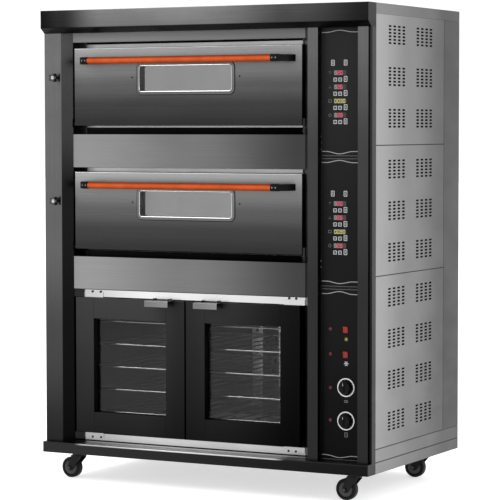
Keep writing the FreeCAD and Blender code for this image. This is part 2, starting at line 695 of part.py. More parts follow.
def make_steam_ducts():
    """A flat duct per deck in the left side space, with a stub from the chamber's port."""
    pieces = []
    wide = "duct_right - duct_left"
    high = "2 * duct_half_height"
    deep = "cabinet_depth - duct_set"
    for deck, lift in MODULES.items():
        piece = Piece("duct_" + deck, "duct_left", "cabinet_front + duct_set",
                      "damper_height + %s - duct_half_height" % lift)
        piece.pad(rectangle(piece.sketch("XZ"), "0", "0", wide, high), deep, backwards=True)
        stub_low = "duct_half_height - port_height / 2 - skin"
        stub_reach = "oven_middle - chamber_width / 2 - skin - duct_left - fine_gap"
        stub = rectangle(piece.sketch("YZ", wide + " - skin"), "port_set - duct_set",
                         stub_low, "port_length", "port_height + 2 * skin")
        piece.pad(stub, "%s - (%s) + skin" % (stub_reach, wide))
        piece.pocket(rectangle(piece.sketch("XZ", "-skin"), "skin", "skin", wide + " - 2 * skin",
                               high + " - 2 * skin"), deep)
        inside = rectangle(piece.sketch("YZ", wide + " - 2 * skin"),
                           "port_set - duct_set + skin", stub_low + " + skin",
                           "port_length - 2 * skin", "port_height")
        piece.pocket(inside, stub_reach, backwards=True)
        hole = circle(piece.sketch("XZ"), "damper_x - duct_left", "duct_half_height",
                      "damper_rod_radius + running_gap")
        piece.pocket(hole, "2 * skin")
        pieces.append(piece.body)
    group("steam_ducts", pieces)


# ---------------------------------------------------------------- baking chamber doors

def make_door_shell(deck, door_bottom):
    """The folded outer shell of a drop-down door, with its two hinge pins."""
    name = "door_shell_" + deck
    piece = Piece(name, "oven_middle - door_width / 2", "cabinet_front + door_set", door_bottom)
    piece.pad(rectangle(piece.sketch("XZ"), "0", "0", "door_width", "door_height"),
              "door_depth", backwards=True)
    piece.dress("Fillet", on_outer_face(0), Radius="2 * door_skin")
    piece.pocket(rectangle(piece.sketch("XZ", "-door_skin"), "door_skin", "door_skin",
                           "door_width - 2 * door_skin", "door_height - 2 * door_skin"),
                 "door_depth")
    window = rounded_rectangle(
        piece.sketch("XZ"), "(door_width - window_width) / 2 + window_lap",
        "window_lift + window_lap", "window_width - 2 * window_lap",
        "window_height - 2 * window_lap", "window_radius - window_lap")
    piece.pocket(window, "door_skin")
    for offset in ("-hinge_pin_reach", "door_width - door_skin"):
        pin = circle(piece.sketch("YZ", offset), "hinge_set", "hinge_lift", "hinge_pin_radius")
        piece.pad(pin, "hinge_pin_reach + door_skin")
    node(piece.body, name)


def make_door_lining(deck, door_bottom):
    """The inner sheet that closes the door's back, with the window's cut-out."""
    name = "door_lining_" + deck
    piece = Piece(name, "oven_middle - door_width / 2 + door_skin + small_gap / 2",
                  "cabinet_front + door_set + door_depth - lining_thickness",
                  door_bottom + " + door_skin + small_gap / 2")
    wide = "door_width - 2 * door_skin - small_gap"
    high = "door_height - 2 * door_skin - small_gap"
    piece.pad(rectangle(piece.sketch("XZ"), "0", "0", wide, high), "lining_thickness",
              backwards=True)
    border = "(window_border + window_lap / 2)"
    piece.pocket(rounded_rectangle(
        piece.sketch("XZ"), "(%s - window_width) / 2 + %s" % (wide, border),
        "window_lift - door_skin - small_gap / 2 + " + border, "window_width - 2 * " + border,
        "window_height - 2 * " + border, "window_lap"), "lining_thickness")
    node(piece.body, name)


def make_window_frame(deck, door_bottom):
    """The rounded bezel round the glass, with the tunnel that holds both panes."""
    name = "window_frame_" + deck
    piece = Piece(name, "oven_middle - window_width / 2", "cabinet_front + door_set",
                  door_bottom + " + window_lift")
    face = rounded_rectangle(piece.sketch("XZ"), "0", "0", "window_width", "window_height",
                             "window_radius")
    piece.pad(face, "window_proud")
    tunnel = rounded_rectangle(
        piece.sketch("XZ"), "window_lap + fine_gap", "window_lap + fine_gap",
        "window_width - 2 * window_lap - 2 * fine_gap",
        "window_height - 2 * window_lap - 2 * fine_gap", "window_radius - window_lap")
    piece.pad(tunnel, "door_depth - lining_thickness", backwards=True)
    opening = rectangle(piece.sketch("XZ", "window_proud"), "window_border", "window_border",
                        "window_width - 2 * window_border", "window_height - 2 * window_border")
    piece.pocket(opening)
    front = -number("window_proud")
    piece.dress("Fillet", on_outer_face(front), Radius="window_proud / 2")
    node(piece.body, name)


def make_panes(deck, door_bottom):
    """Two panes of glass held in the window's tunnel."""
    size = ("window_width - 2 * window_border", "pane_thickness",
            "window_height - 2 * window_border")
    pieces = [
        box("pane_%s_%s" % (side, deck), size, "oven_middle - window_width / 2 + window_border",
            "cabinet_front + door_set + " + setback,
            door_bottom + " + window_lift + window_border")
        for side, setback in (("front", "front_pane_set"), ("rear", "rear_pane_set"))
    ]
    group("window_panes_" + deck, pieces)


def make_handle(deck, door_bottom):
    """The tubular bar and its two moulded end brackets, which slant outwards to the door."""
    height = door_bottom + " + handle_lift"
    tube = Piece("handle_tube_" + deck, "oven_middle - handle_length / 2",
                 "cabinet_front + door_set - handle_set", height)
    ring = tube.sketch("YZ")
    circle(ring, "0", "0", "handle_radius")
    circle(ring, "0", "0", "handle_radius - handle_wall")
    tube.pad(ring, "handle_length")
    node(tube.body, tube.body.Name)

    arm = Piece("bracket_left_" + deck, "oven_middle - handle_length / 2",
                "cabinet_front + door_set", height + " - bracket_height / 2")
    arm.pad(outline(arm.sketch("XY"), [
        ("0", "-handle_set - handle_radius"),
        ("-bracket_length", "-handle_set - handle_radius"),
        ("-bracket_length - bracket_foot", "-bracket_tip"),
        ("-bracket_length - bracket_foot - bracket_flare", "0"),
        ("-bracket_length - bracket_foot - bracket_flare + bracket_sole", "0"),
        ("-bracket_length + bracket_inset", "-bracket_tip + bracket_web"),
        ("0", "-bracket_tip - bracket_rise"),
    ]), "bracket_height")
    arm.dress("Fillet", lambda edge: edge.BoundBox.ZLength > LONG_EDGE
              and max(edge.BoundBox.YMax, edge.BoundBox.XMax) < -LONG_EDGE,
              Radius="bracket_round")
    cap = rod("cap_left_" + deck, "handle_radius + cap_wall", "bracket_length - cap_short",
              "oven_middle - handle_length / 2 - bracket_length + cap_short",
              "cabinet_front + door_set - handle_set", height, along="X")
    left = join("end_left_" + deck, [arm.body, cap])
    right = mirrored("end_right_" + deck, left, "oven_middle")
    group("handle_brackets_" + deck, [left, right])


def hinge_plate(name, x, thickness, door_bottom):
    """A side plate with the bearing hole of an oven door's pin."""
    piece = Piece(name, x, "cabinet_front + door_set + hinge_plate_set",
                  door_bottom + " - hinge_plate_drop")
    piece.pad(rectangle(piece.sketch("YZ"), "0", "0", "mouth_set - door_set - hinge_plate_set",
                        "hinge_plate_height"), thickness)
    piece.pocket(circle(piece.sketch("YZ"), "hinge_set - hinge_plate_set",
                        "hinge_lift + hinge_plate_drop", "hinge_pin_radius + running_gap"),
                 thickness, backwards=True)
    return piece.body


def pivot_plate(name, length, x, z, upright_z, pin_side, pin_z):
    """An angle plate screwed to a proofer rail, with the pivot pin of a glass door."""
    y = "cabinet_front + rail_set - leaf_thickness"
    upright = box(name + "_upright", (length, "leaf_thickness", "leaf_height"), x, y, upright_z)
    shelf = box(name + "_shelf", (length, "leaf_depth", "leaf_thickness"), x, y, z)
    pin = rod(name + "_pin", "proof_pivot_radius", "proof_pivot_reach + leaf_thickness",
              pin_side, "cabinet_front + door_set + proof_pivot_in", pin_z)
    return join(name, [upright, shelf, pin])


def make_hinge_brackets():
    """Bearing plates of the drop-down doors and pivot plates of the glass doors."""
    pieces = []
    for deck, door_bottom in DECKS.items():
        pieces.append(hinge_plate("hinge_left_" + deck, "recess_left", "hinge_plate_left",
                                  door_bottom))
        pieces.append(hinge_plate("hinge_right_" + deck, "recess_right - hinge_plate_right",
                                  "hinge_plate_right", door_bottom))
    left_pin = "proof_door_left + proof_pivot_in"
    right_end = "proof_door_left + 2 * proof_door_width + proof_door_gap"
    right_pin = right_end + " - proof_pivot_in"
    roof = "proof_door_bottom + proof_door_height"
    right_x = "recess_right - leaf_inset - leaf_right"
    for side, length, x, pin in (("left", "leaf_left", "recess_left + leaf_inset", left_pin),
                                 ("right", "leaf_right", right_x, right_pin)):
        pieces.append(pivot_plate(
            "pivot_%s_high" % side, length, x, "header_bottom - leaf_thickness",
            "header_bottom - leaf_thickness", pin, roof + " - proof_pivot_reach"))
        pieces.append(pivot_plate(
            "pivot_%s_low" % side, length, x, "sill_top",
            "sill_top - leaf_height + leaf_thickness", pin, "sill_top"))
    group("hinge_brackets", pieces)


# ---------------------------------------------------------------- proofer

def make_proofer_liner():
    """The stainless inside of the proofer, open in front, with the fan shaft's hole."""
    wide = "proofer_right - proofer_left"
    high = "proofer_roof - proofer_floor"
    piece = Piece("proofer_liner", "proofer_left", "cabinet_front + mouth_set", "proofer_floor")
    piece.pad(rectangle(piece.sketch("XZ"), "0", "0", wide, high), "proofer_depth",
              backwards=True)
    piece.pocket(rectangle(piece.sketch("XZ"), "skin", "skin", wide + " - 2 * skin",
                           high + " - 2 * skin"), "proofer_depth - skin")
    piece.pocket(circle(piece.sketch("XZ"), "oven_middle - proofer_left",
                        "fan_height - proofer_floor", "fan_shaft_radius + fan_shaft_room"))
    node(piece.body, "proofer_liner")


def make_proofer_rails():
    """Header rail over the glass doors, sill rail and thin strip under them."""
    wide = "recess_right - recess_left - 2 * small_gap"
    rows = {
        "header_rail": ("header_bottom", "header_top - header_bottom"),
        "sill_rail": ("sill_bottom", "sill_top - sill_bottom"),
        "sill_strip": ("base_underside + base_height + fine_gap", "sill_strip_height"),
    }
    pieces = []
    for name, (bottom, high) in rows.items():
        piece = Piece(name, "recess_left + small_gap", "cabinet_front + rail_set", bottom)
        deep = "mouth_set - rail_set - small_gap"
        piece.pad(rectangle(piece.sketch("XZ"), "0", "0", wide, high), deep, backwards=True)
        if name != "sill_strip":
            piece.pocket(rectangle(piece.sketch("XZ", "-skin"), "skin", "skin",
                                   wide + " - 2 * skin", high + " - 2 * skin"), deep)
        pieces.append(piece.body)
    group("proofer_rails", pieces)


def make_proofer_door(side, x, outer_side_left):
    """Frame, glass and pull of one proofer door, which turns on pins at its outer edge."""
    y = "cabinet_front + door_set"
    wide = "proof_door_width"
    high = "proof_door_height"
    piece = Piece("proofer_door_" + side, x, y, "proof_door_bottom")
    piece.pad(rectangle(piece.sketch("XZ"), "0", "0", wide, high), "proof_door_depth",
              backwards=True)
    piece.dress("Fillet", on_outer_face(0), Radius="skin")
    glass = ("stile_width", "rail_width", wide + " - 2 * stile_width", high + " - 2 * rail_width")
    piece.pocket(rectangle(piece.sketch("XZ"), *glass), "proof_door_depth")
    joints = piece.sketch("XZ")
    for across in ("stile_width", wide + " - stile_width - joint_line"):
        for up in ("0", high + " - rail_width"):
            rectangle(joints, across, up, "joint_line", "rail_width")
    piece.pocket(joints, "joint_line")
    pin_x = "proof_pivot_in" if outer_side_left else wide + " - proof_pivot_in"
    for plane_z, backwards in (("0", True), (high, False)):
        hole = circle(piece.sketch("XY", plane_z), pin_x, "proof_pivot_in",
                      "proof_pivot_radius + running_gap")
        piece.pocket(hole, "proof_pivot_reach + pivot_spare", backwards=backwards)
    node(piece.body, piece.body.Name)

    pane = box("proofer_glass_" + side, (glass[2], "proof_glass", glass[3]),
               x + " + stile_width", y + " + proof_glass_set", "proof_door_bottom + rail_width")
    node(pane, pane.Label)

    middle = "oven_middle %s pull_offset" % ("-" if side == "left" else "+")
    start = middle + (" - pull_width" if side == "left" else "")
    pull = Piece("proofer_pull_" + side, start, y,
                 "proof_door_bottom + proof_door_height - pull_drop - pull_height")
    pull.pad(outline(pull.sketch("YZ"), [
        ("0", "pull_height"), ("-pull_set", "pull_height"), ("-pull_set", "0"),
        ("-pull_set + pull_thickness", "0"),
        ("-pull_set + pull_thickness", "pull_height - pull_thickness"),
        ("-pull_thickness", "pull_height - pull_thickness"), ("-pull_thickness", "0"), ("0", "0"),
    ]), "pull_width")
    bend_line = number("pull_thickness - pull_set")
    top_line = number("pull_height") - NEAR
    pull.dress("Fillet", lambda edge: edge.BoundBox.XLength > LONG_EDGE
               and edge.BoundBox.YMax < bend_line and edge.BoundBox.ZMin > top_line,
               Radius="pull_thickness")
    node(pull.body, pull.body.Name)


def shelf(name, x, z):
    """A wire shelf: a rod along its front and rear edges, and rods from front to rear."""
    front = "cabinet_front + shelf_front"
    pieces = [
        rod(name + "_front", "shelf_wire", "shelf_width", x, front, z, along="X"),
        rod(name + "_rear", "shelf_wire", "shelf_width", x, front + " + shelf_depth", z,
            along="X"),
    ]
    for index in range(SIZES["shelf_cross_wires"]):
        across = "%s + shelf_wire + %d * (shelf_width - 2 * shelf_wire) / (shelf_cross_wires - 1)"
        pieces.append(rod("%s_cross_%d" % (name, index + 1), "shelf_cross_wire", "shelf_depth",
                          across % (x, index), front, z, along="Y"))
    return join(name, pieces)


def upright(name, plane, x, y, width, opening):
    """A perforated strip that carries the shelves' ends, flat to one of two planes."""
    piece = Piece(name, x, y, "proofer_floor + 2 * skin")
    high = "proofer_roof - proofer_floor - 4 * skin"
    piece.pad(rectangle(piece.sketch(plane), "0", "0", width, high), "upright_depth")
    first = rectangle(piece.sketch(plane), "(%s - %s) / 2" % (width, opening),
                      "shelf_pitch - 2 * skin", opening, opening)
    hole = piece.pocket(first, "upright_depth", backwards=True)
    pattern = piece.body.newObject("PartDesign::LinearPattern", name + "_holes")
    pattern.Originals = [hole]
    pattern.Direction = (first, ["V_Axis"])
    bind(pattern, Length="(shelf_count - 1) * shelf_pitch")
    pattern.Occurrences = SIZES["shelf_count"]
    piece.body.Tip = pattern
    return piece.body


def make_tray_racks():
    """Wire shelves in two bays, and the perforated strips beside and behind them."""
    pieces = []
    bays = ("oven_middle - shelf_width - bay_gap / 2", "oven_middle + bay_gap / 2")
    for bay, start in zip(("left", "right"), bays):
        for level in range(SIZES["shelf_count"]):
            z = "shelf_first + %d * shelf_pitch" % level
            pieces.append(shelf("shelf_%s_%d" % (bay, level + 1), start, z))
    rear = "cabinet_front + shelf_front + shelf_depth + 2 * shelf_wire"
    front = "cabinet_front + shelf_front"
    rear_places = (
        ("left", "proofer_left + 2 * skin"),
        ("middle_left", "oven_middle - rear_upright_set - rear_upright_width / 2"),
        ("middle_right", "oven_middle + rear_upright_set - rear_upright_width / 2"),
        ("right", "proofer_right - 2 * skin - rear_upright_width"),
    )
    for place, x in rear_places:
        pieces.append(upright("strip_rear_" + place, "XZ", x, rear, "rear_upright_width",
                              "rear_upright_hole"))
    front_places = (
        ("left", "proofer_left + 2 * skin"),
        ("middle", "oven_middle - upright_depth / 2"),
        ("right", "proofer_right - 2 * skin - upright_depth"),
    )
    for place, x in front_places:
        pieces.append(upright("strip_front_" + place, "YZ", x, front, "upright_width",
                              "upright_hole"))
    group("tray_racks", pieces)


def make_water_pan():
    """An open pan on the proofer's floor."""
    piece = Piece("water_pan", "oven_middle - pan_width / 2", "cabinet_front + pan_set",
                  "proofer_floor + skin + fine_gap")
    piece.pad(rectangle(piece.sketch("XY"), "0", "0", "pan_width", "pan_depth"), "pan_height")
    piece.pocket(rectangle(piece.sketch("XY", "skin"), "skin", "skin", "pan_width - 2 * skin",
                           "pan_depth - 2 * skin"), "pan_height", backwards=True)
    node(piece.body, "water_pan")


def make_fan():
    """The proofer's air wheel on its shaft, and the flat motor behind the liner."""
    back = "cabinet_front + mouth_set + proofer_depth"
    y = back + " - skin - small_gap - fan_width - fan_off_wall"
    hub = rod("fan_hub", "fan_hub_radius", "fan_width", "oven_middle", y, "fan_height", along="Y")
    shaft = rod("fan_shaft", "fan_shaft_radius", "fan_width + fan_off_wall + motor_length",
                "oven_middle", y, "fan_height", along="Y")
    disc = rod("fan_disc", "fan_radius", "skin", "oven_middle", y + " + fan_width - skin",
               "fan_height", along="Y")
    blades = []
    for index in range(SIZES["fan_blades"]):
        angle = FULL_TURN * index / SIZES["fan_blades"]
        blade = doc.addObject("Part::Box", "fan_blade_%d" % (index + 1))
        blade.Placement.Rotation = FreeCAD.Rotation(V(0, 1, 0), angle)
        bind(blade, Length="fan_radius - blade_short", Width="fan_width", Height="skin")
        put(blade, "oven_middle", y, "fan_height")
        blades.append(blade)
    node(join("fan_wheel", [hub, shaft, disc] + blades), "fan_wheel")
    motor = rod("motor_block", "motor_radius", "motor_length", "oven_middle",
                back + " + fine_gap", "fan_height", along="Y")
    bore = rod("motor_bore", "fan_shaft_radius + running_gap", "motor_length - motor_end", "oven_middle",
               back, "fan_height", along="Y")
    node(cut("fan_motor", motor, bore), "fan_motor")


# ---------------------------------------------------------------- steam dampers

def make_damper(deck, lift):
    """A lobed pull knob, its rod and the blade that shuts the steam port."""
    height = "damper_height + " + lift
    knob = Piece("damper_knob_" + deck, "damper_x", "cabinet_front + damper_knob_set", height)
    knob.pad(circle(knob.sketch("XZ"), "0", "0", "damper_knob_radius"), "damper_knob_length",
             backwards=True)
    lobe = knob.pad(circle(knob.sketch("XZ"), "damper_knob_radius", "0", "damper_lobe_radius"),
                    "damper_knob_length", backwards=True)
    pattern = knob.body.newObject("PartDesign::PolarPattern", knob.body.Name + "_lobes")
    pattern.Originals = [lobe]
    pattern.Axis = (lobe.Profile[0], ["N_Axis"])
    pattern.Angle = FULL_TURN
    pattern.Occurrences = SIZES["damper_lobes"]
    knob.body.Tip = pattern
    root = "damper_knob_set + damper_knob_length - damper_rod_root"
    shank = rod("damper_rod_" + deck, "damper_rod_radius", "port_set - blade_lead - (%s)" % root,
                "damper_x", "cabinet_front + " + root, height, along="Y")
    blade = box("damper_blade_" + deck, ("blade_thickness", "blade_length", "blade_height"),
                "damper_x - blade_thickness / 2", "cabinet_front + port_set - blade_lead",
                height + " - blade_height / 2")
    node(join("damper_" + deck, [knob.body, shank, blade]), "damper_" + deck)


# ---------------------------------------------------------------- control column

def column_panel(name, bottom, top, cutouts):
    """One panel of the control column, folded back at its edges and cut for its controls."""
    wide = "outer_post_left - inner_post_right - 2 * fine_gap"
    high = "%s - %s - seam" % (top, bottom)
    piece = Piece(name, "inner_post_right + fine_gap", "cabinet_front + panel_set",
                  bottom + " + seam / 2")
    piece.pad(rectangle(piece.sketch("XZ"), "0", "0", wide, high), "fold", backwards=True)
    piece.pocket(rectangle(piece.sketch("XZ", "-skin"), "skin", "skin", wide + " - 2 * skin",
                           high + " - 2 * skin"), "fold")
    holes = piece.sketch("XZ")
    cutouts(holes, "inner_post_right + fine_gap", bottom + " + seam / 2")
    piece.pocket(holes, "skin")
    return piece.body


def display_holes(lift):
    def draw(sketch, x, z):
        for index in range(SIZES["displays"]):
            rectangle(sketch, "display_x - display_width / 2 - (%s)" % x,
                      "display_top - deck_pitch + %s - %d * display_pitch - display_height / 2"
                      " - (%s)" % (lift, index, z), "display_width", "display_height")
    return draw


def proofer_holes(sketch, x, z):
    for height in ("rocker_upper", "rocker_lower"):
        rectangle(sketch, "rocker_x - bezel_width / 2 + bezel_cover - (%s)" % x,
                  "%s - bezel_height / 2 + bezel_cover - (%s)" % (height, z),
                  "bezel_width - 2 * bezel_cover", "bezel_height - 2 * bezel_cover")
    for height in ("rocker_upper", "rocker_lower", "lamp_low_upper", "lamp_low_lower"):
        circle(sketch, "lamp_x - (%s)" % x, "%s - (%s)" % (height, z), "lamp_radius + small_gap")
    for height in ("knob_upper", "knob_lower"):
        circle(sketch, "knob_x - (%s)" % x, "%s - (%s)" % (height, z),
               "shaft_radius + running_gap")


def make_control_panels():
    """Three panels, one beside each baking chamber and one beside the proofer."""
    group("control_panels", [
        column_panel("column_upper", "column_split_upper", "hood_bottom",
                     display_holes("deck_pitch")),
        column_panel("column_lower", "column_split_lower", "column_split_upper",
                     display_holes("0")),
        column_panel("column_proofer", "column_bottom", "column_split_lower", proofer_holes),
    ])


def display_board(name, lift):
    """A circuit board with four display blocks that look through the panel's windows."""
    z = "display_top - deck_pitch + %s" % lift
    y = "cabinet_front + board_set"
    board = box(name + "_card", ("board_width", "board_thickness", "board_height"),
                "display_x - board_width / 2", y, z + " - board_height + board_lift")
    blocks = [
        box("%s_block_%d" % (name, index + 1),
            ("display_width - 2 * block_border", "board_set - panel_set - small_gap",
             "display_height - 2 * block_border"),
            "display_x - display_width / 2 + block_border", "cabinet_front + panel_set + small_gap",
            "%s - %d * display_pitch - display_height / 2 + block_border" % (z, index))
        for index in range(SIZES["displays"])
    ]
    return join(name, [board] + blocks)


def switch_housing(name, height):
    """The bezel and the box behind it, with the rocker's trunnion bore."""
    y = "cabinet_front + panel_set"
    piece = Piece(name, "rocker_x - bezel_width / 2", y, height + " - bezel_height / 2")
    piece.pad(rectangle(piece.sketch("XZ"), "0", "0", "bezel_width", "bezel_height"),
              "bezel_proud")
    piece.pad(rectangle(piece.sketch("XZ"), "bezel_lap", "bezel_lap",
                        "bezel_width - 2 * bezel_lap", "bezel_height - 2 * bezel_lap"),
              "housing_depth", backwards=True)
    piece.pocket(rectangle(piece.sketch("XZ", "bezel_proud"),
                           "(bezel_width - rocker_width) / 2 - small_gap",
                           "(bezel_height - rocker_height) / 2 - rocker_gap",
                           "rocker_width + 2 * small_gap", "rocker_height + 2 * rocker_gap"),
                 "housing_depth - housing_floor")
    return piece.body


def thermostat(name, height):
    """A round regulator behind the panel with a bore for its knob's shaft."""
    y = "cabinet_front + panel_set + skin + fine_gap"
    body = rod(name + "_case", "regulator_radius", "regulator_depth", "knob_x", y, height,
               along="Y")
    bore = rod(name + "_bore", "shaft_radius + running_gap", "shaft_length", "knob_x", y, height,
               along="Y")
    return cut(name, body, bore)


def make_electrical_fittings():
    """Boards, switch housings, regulators and the supply cable's gland at the back."""
    gland_y = "cabinet_front + cabinet_depth - skin - gland_lead"
    nut = rod("gland_nut", "gland_radius", "gland_length - gland_lead", "gland_x",
              "cabinet_front + cabinet_depth + fine_gap", "gland_height", along="Y")
    neck = rod("gland_neck", "gland_neck_radius", "2 * gland_lead", "gland_x", gland_y,
               "gland_height", along="Y")
    bore = rod("gland_hole", "gland_bore", "2 * gland_length", "gland_x", gland_y,
               "gland_height", along="Y")
    pieces = [
        display_board("board_upper", "deck_pitch"), display_board("board_lower", "0"),
        switch_housing("housing_upper", "rocker_upper"),
        switch_housing("housing_lower", "rocker_lower"),
        thermostat("regulator_upper", "knob_upper"), thermostat("regulator_lower", "knob_lower"),
        cut("cable_gland", join("gland_body", [nut, neck]), bore),
    ]
    group("electrical_fittings", pieces)


def make_indicator_lamps():
    """Four round lamps in the proofer's panel."""
    pieces = []
    for index, height in enumerate(("rocker_upper", "rocker_lower", "lamp_low_upper",
                                    "lamp_low_lower")):
        piece = Piece("lamp_%d" % (index + 1), "lamp_x", "cabinet_front + panel_set", height)
        piece.pad(circle(piece.sketch("XZ"), "0", "0", "lamp_radius"), "lamp_length",
                  backwards=True)
        piece.pad(circle(piece.sketch("XZ"), "0", "0", "lamp_radius + lamp_bezel"), "lamp_proud")
        front = -number("lamp_proud")
        piece.dress("Fillet", on_outer_face(front), Radius="lamp_proud - lamp_bezel")
        pieces.append(piece.body)
    group("indicator_lamps", pieces)


def make_rocker(name, height):
    """A rocker key, dished in the middle and tipped to one side about its trunnion."""
    piece = Piece(name, "rocker_x - rocker_width / 2", "cabinet_front + rocker_set", height)
    piece.body.Placement.Rotation = FreeCAD.Rotation(V(1, 0, 0), SIZES["rocker_tilt"])
    half = "rocker_height / 2"
    piece.pad(outline(piece.sketch("YZ"), [
        ("-rocker_face", "-" + half), ("-rocker_face + rocker_dish", "0"), ("-rocker_face", half),
        ("-rocker_shoulder", half), ("rocker_back", half + " / 3"),
        ("rocker_back", "-%s / 3" % half), ("-rocker_shoulder", "-" + half),
    ]), "rocker_width")
    node(piece.body, name)


def make_knob(name, height):
    """A skirted control knob with a grip ridge and its shaft."""
    y = "cabinet_front + panel_set - knob_gap"
    piece = Piece(name, "knob_x", y, height)
    piece.pad(circle(piece.sketch("XZ"), "0", "0", "knob_skirt_radius"), "knob_skirt")
    piece.pad(circle(piece.sketch("XZ"), "0", "0", "knob_radius"), "knob_length")
    piece.pad(rectangle(piece.sketch("XZ"), "-knob_ridge / 2", "-knob_radius + ridge_inset",
                        "knob_ridge", "2 * knob_radius - 2 * ridge_inset"),
              "knob_length + knob_ridge_proud")
    piece.pad(circle(piece.sketch("XZ"), "0", "0", "shaft_radius"), "shaft_length",
              backwards=True)
    front = -number("knob_length")
    piece.dress("Fillet", lambda edge: edge.Curve.TypeId == "Part::GeomCircle"
                and on_outer_face(front)(edge), Radius="knob_round")
    node(piece.body, name)


# ---------------------------------------------------------------- casters

CASTERS = {
    "front_left": ("-caster_x", "caster_front"), "front_right": ("caster_x", "caster_front"),
    "rear_left": ("-caster_x", "caster_rear"), "rear_right": ("caster_x", "caster_rear"),
}


def caster_plate(name, x, y):
    """A top plate with its ball race and king pin."""
    under = "base_underside - plate_thickness"
    plate = box(name + "_plate", ("plate_x", "plate_y", "plate_thickness"),
                x + " - plate_x / 2", y + " - plate_y / 2", under)
    race = rod(name + "_race", "race_radius", "race_height", x, y, under + " - race_height")
    pin = rod(name + "_pin", "kingpin_radius", "kingpin_length", x, y,
              under + " - race_height - kingpin_length + kingpin_root")
    return join(name, [plate, race, pin])


def make_fork(name, x, y):
    """A swivel fork: a round crown on the king pin and two arms down to the axle."""
    crown_low = "base_underside - plate_thickness - race_height - fork_gap - fork_top"
    piece = Piece(name, x, y, crown_low)
    piece.pad(circle(piece.sketch("XY"), "0", "0", "fork_radius"), "fork_top")
    half = "fork_inside / 2 + fork_arm"
    piece.pad(rectangle(piece.sketch("XY"), "-fork_radius + fork_inset", "-(%s)" % half,
                        "2 * fork_radius - 2 * fork_inset", "2 * (%s)" % half), "fork_top")
    drop = "wheel_radius - (%s)" % crown_low
    for offset in ("fork_inside / 2", "-fork_inside / 2 - fork_arm"):
        arm = outline(piece.sketch("XZ", offset), [
            ("-fork_radius + fork_inset", "fork_top"),
            ("-fork_radius + fork_inset / 4", "-fork_inset"),
            ("-wheel_trail - arm_foot", drop + " + fork_inset"),
            ("-wheel_trail - arm_toe", drop + " - arm_toe"),
            ("-wheel_trail + arm_toe", drop + " - arm_foot"),
            ("fork_radius - 3 * fork_inset / 2", "-3 * fork_inset / 2"),
            ("fork_radius - fork_inset", "fork_top"),
        ])
        piece.pad(arm, "fork_arm")
    piece.pocket(circle(piece.sketch("XY"), "0", "0", "kingpin_radius + running_gap"),
                 "fork_top", backwards=True)
    axle = piece.sketch("XZ", "-fork_inside / 2 - fork_arm - axle_head_length")
    circle(axle, "-wheel_trail", drop, "axle_radius")
    piece.pad(axle, "fork_inside + 2 * fork_arm + 2 * axle_head_length")
    for offset in ("fork_inside / 2 + fork_arm",
                   "-fork_inside / 2 - fork_arm - axle_head_length"):
        head = circle(piece.sketch("XZ", offset), "-wheel_trail", drop, "axle_head")
        piece.pad(head, "axle_head_length")
    node(piece.body, name)


def make_wheel(name, x, y):
    """A wheel with a rounded tread, dished sides and a bored hub."""
    piece = Piece(name, x + " - wheel_trail", y + " - wheel_width / 2", "wheel_radius")
    profile = outline(piece.sketch("YZ"), [
        ("0", "axle_radius + running_gap"), ("0", "hub_radius"),
        ("wheel_recess", "hub_radius + wheel_dish"), ("wheel_recess", "wheel_rim"),
        ("tyre_edge", "wheel_rim + wheel_dish"), ("tyre_edge", "wheel_radius - tyre_drop"),
        ("tyre_round", "wheel_radius"), ("wheel_width - tyre_round", "wheel_radius"),
        ("wheel_width - tyre_edge", "wheel_radius - tyre_drop"),
        ("wheel_width - tyre_edge", "wheel_rim + wheel_dish"),
        ("wheel_width - wheel_recess", "wheel_rim"),
        ("wheel_width - wheel_recess", "hub_radius + wheel_dish"),
        ("wheel_width", "hub_radius"), ("wheel_width", "axle_radius + running_gap"),
    ])
    piece.revolve(profile)
    node(piece.body, name)


def make_casters():
    plates = []
    for corner, (x, setback) in CASTERS.items():
        y = "cabinet_front + " + setback
        plates.append(caster_plate("mount_" + corner, x, y))
        make_fork("fork_" + corner, x, y)
        make_wheel("wheel_" + corner, x, y)
    group("caster_plates", plates)


# ---------------------------------------------------------------- build and write

def build():
    make_canopy()
    make_top_cover()
    make_base()
    make_posts()
    make_front_panels()
    make_side_panels()
    make_back_panel()
    for deck, door_bottom in DECKS.items():
        make_chamber(deck, door_bottom)
        make_door_shell(deck, door_bottom)
        make_door_lining(deck, door_bottom)
        make_window_frame(deck, door_bottom)
        make_panes(deck, door_bottom)
        make_handle(deck, door_bottom)
        make_damper(deck, MODULES[deck])
    make_insulation()
    make_hearth_stones()
    make_heating_elements()
    make_steam_ducts()
    make_hinge_brackets()
    make_proofer_liner()
    make_proofer_rails()
    make_proofer_door("left", "proof_door_left", True)
    make_proofer_door("right", "proof_door_left + proof_door_width + proof_door_gap", False)
    make_tray_racks()
    make_water_pan()
    make_fan()
    make_control_panels()
    make_electrical_fittings()
    make_indicator_lamps()
    make_rocker("rocker_upper", "rocker_upper")
    make_rocker("rocker_lower", "rocker_lower")
    make_knob("knob_upper", "knob_upper")
    make_knob("knob_lower", "knob_lower")
    make_casters()


def check_and_write():
    """Stop on any failed object or bad shape, then write one STEP file per node."""
    doc.recompute()
    failed = [
        thing.Name for thing in doc.Objects
        if "Invalid" in thing.State or "Error" in thing.State
    ]
    if failed:
        raise RuntimeError("failed objects: " + ", ".join(failed))
    os.makedirs("parts", exist_ok=True)
    for thing in NODES:
        shape = thing.Shape
        if shape.isNull() or not shape.isValid() or not shape.Solids:
            raise RuntimeError(thing.Label + " has no valid solid")
        shape.exportStep(os.path.join("parts", thing.Label + ".step"))


build()
check_and_write()
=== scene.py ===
import math

import bmesh
import bpy
from mathutils import Matrix, Vector


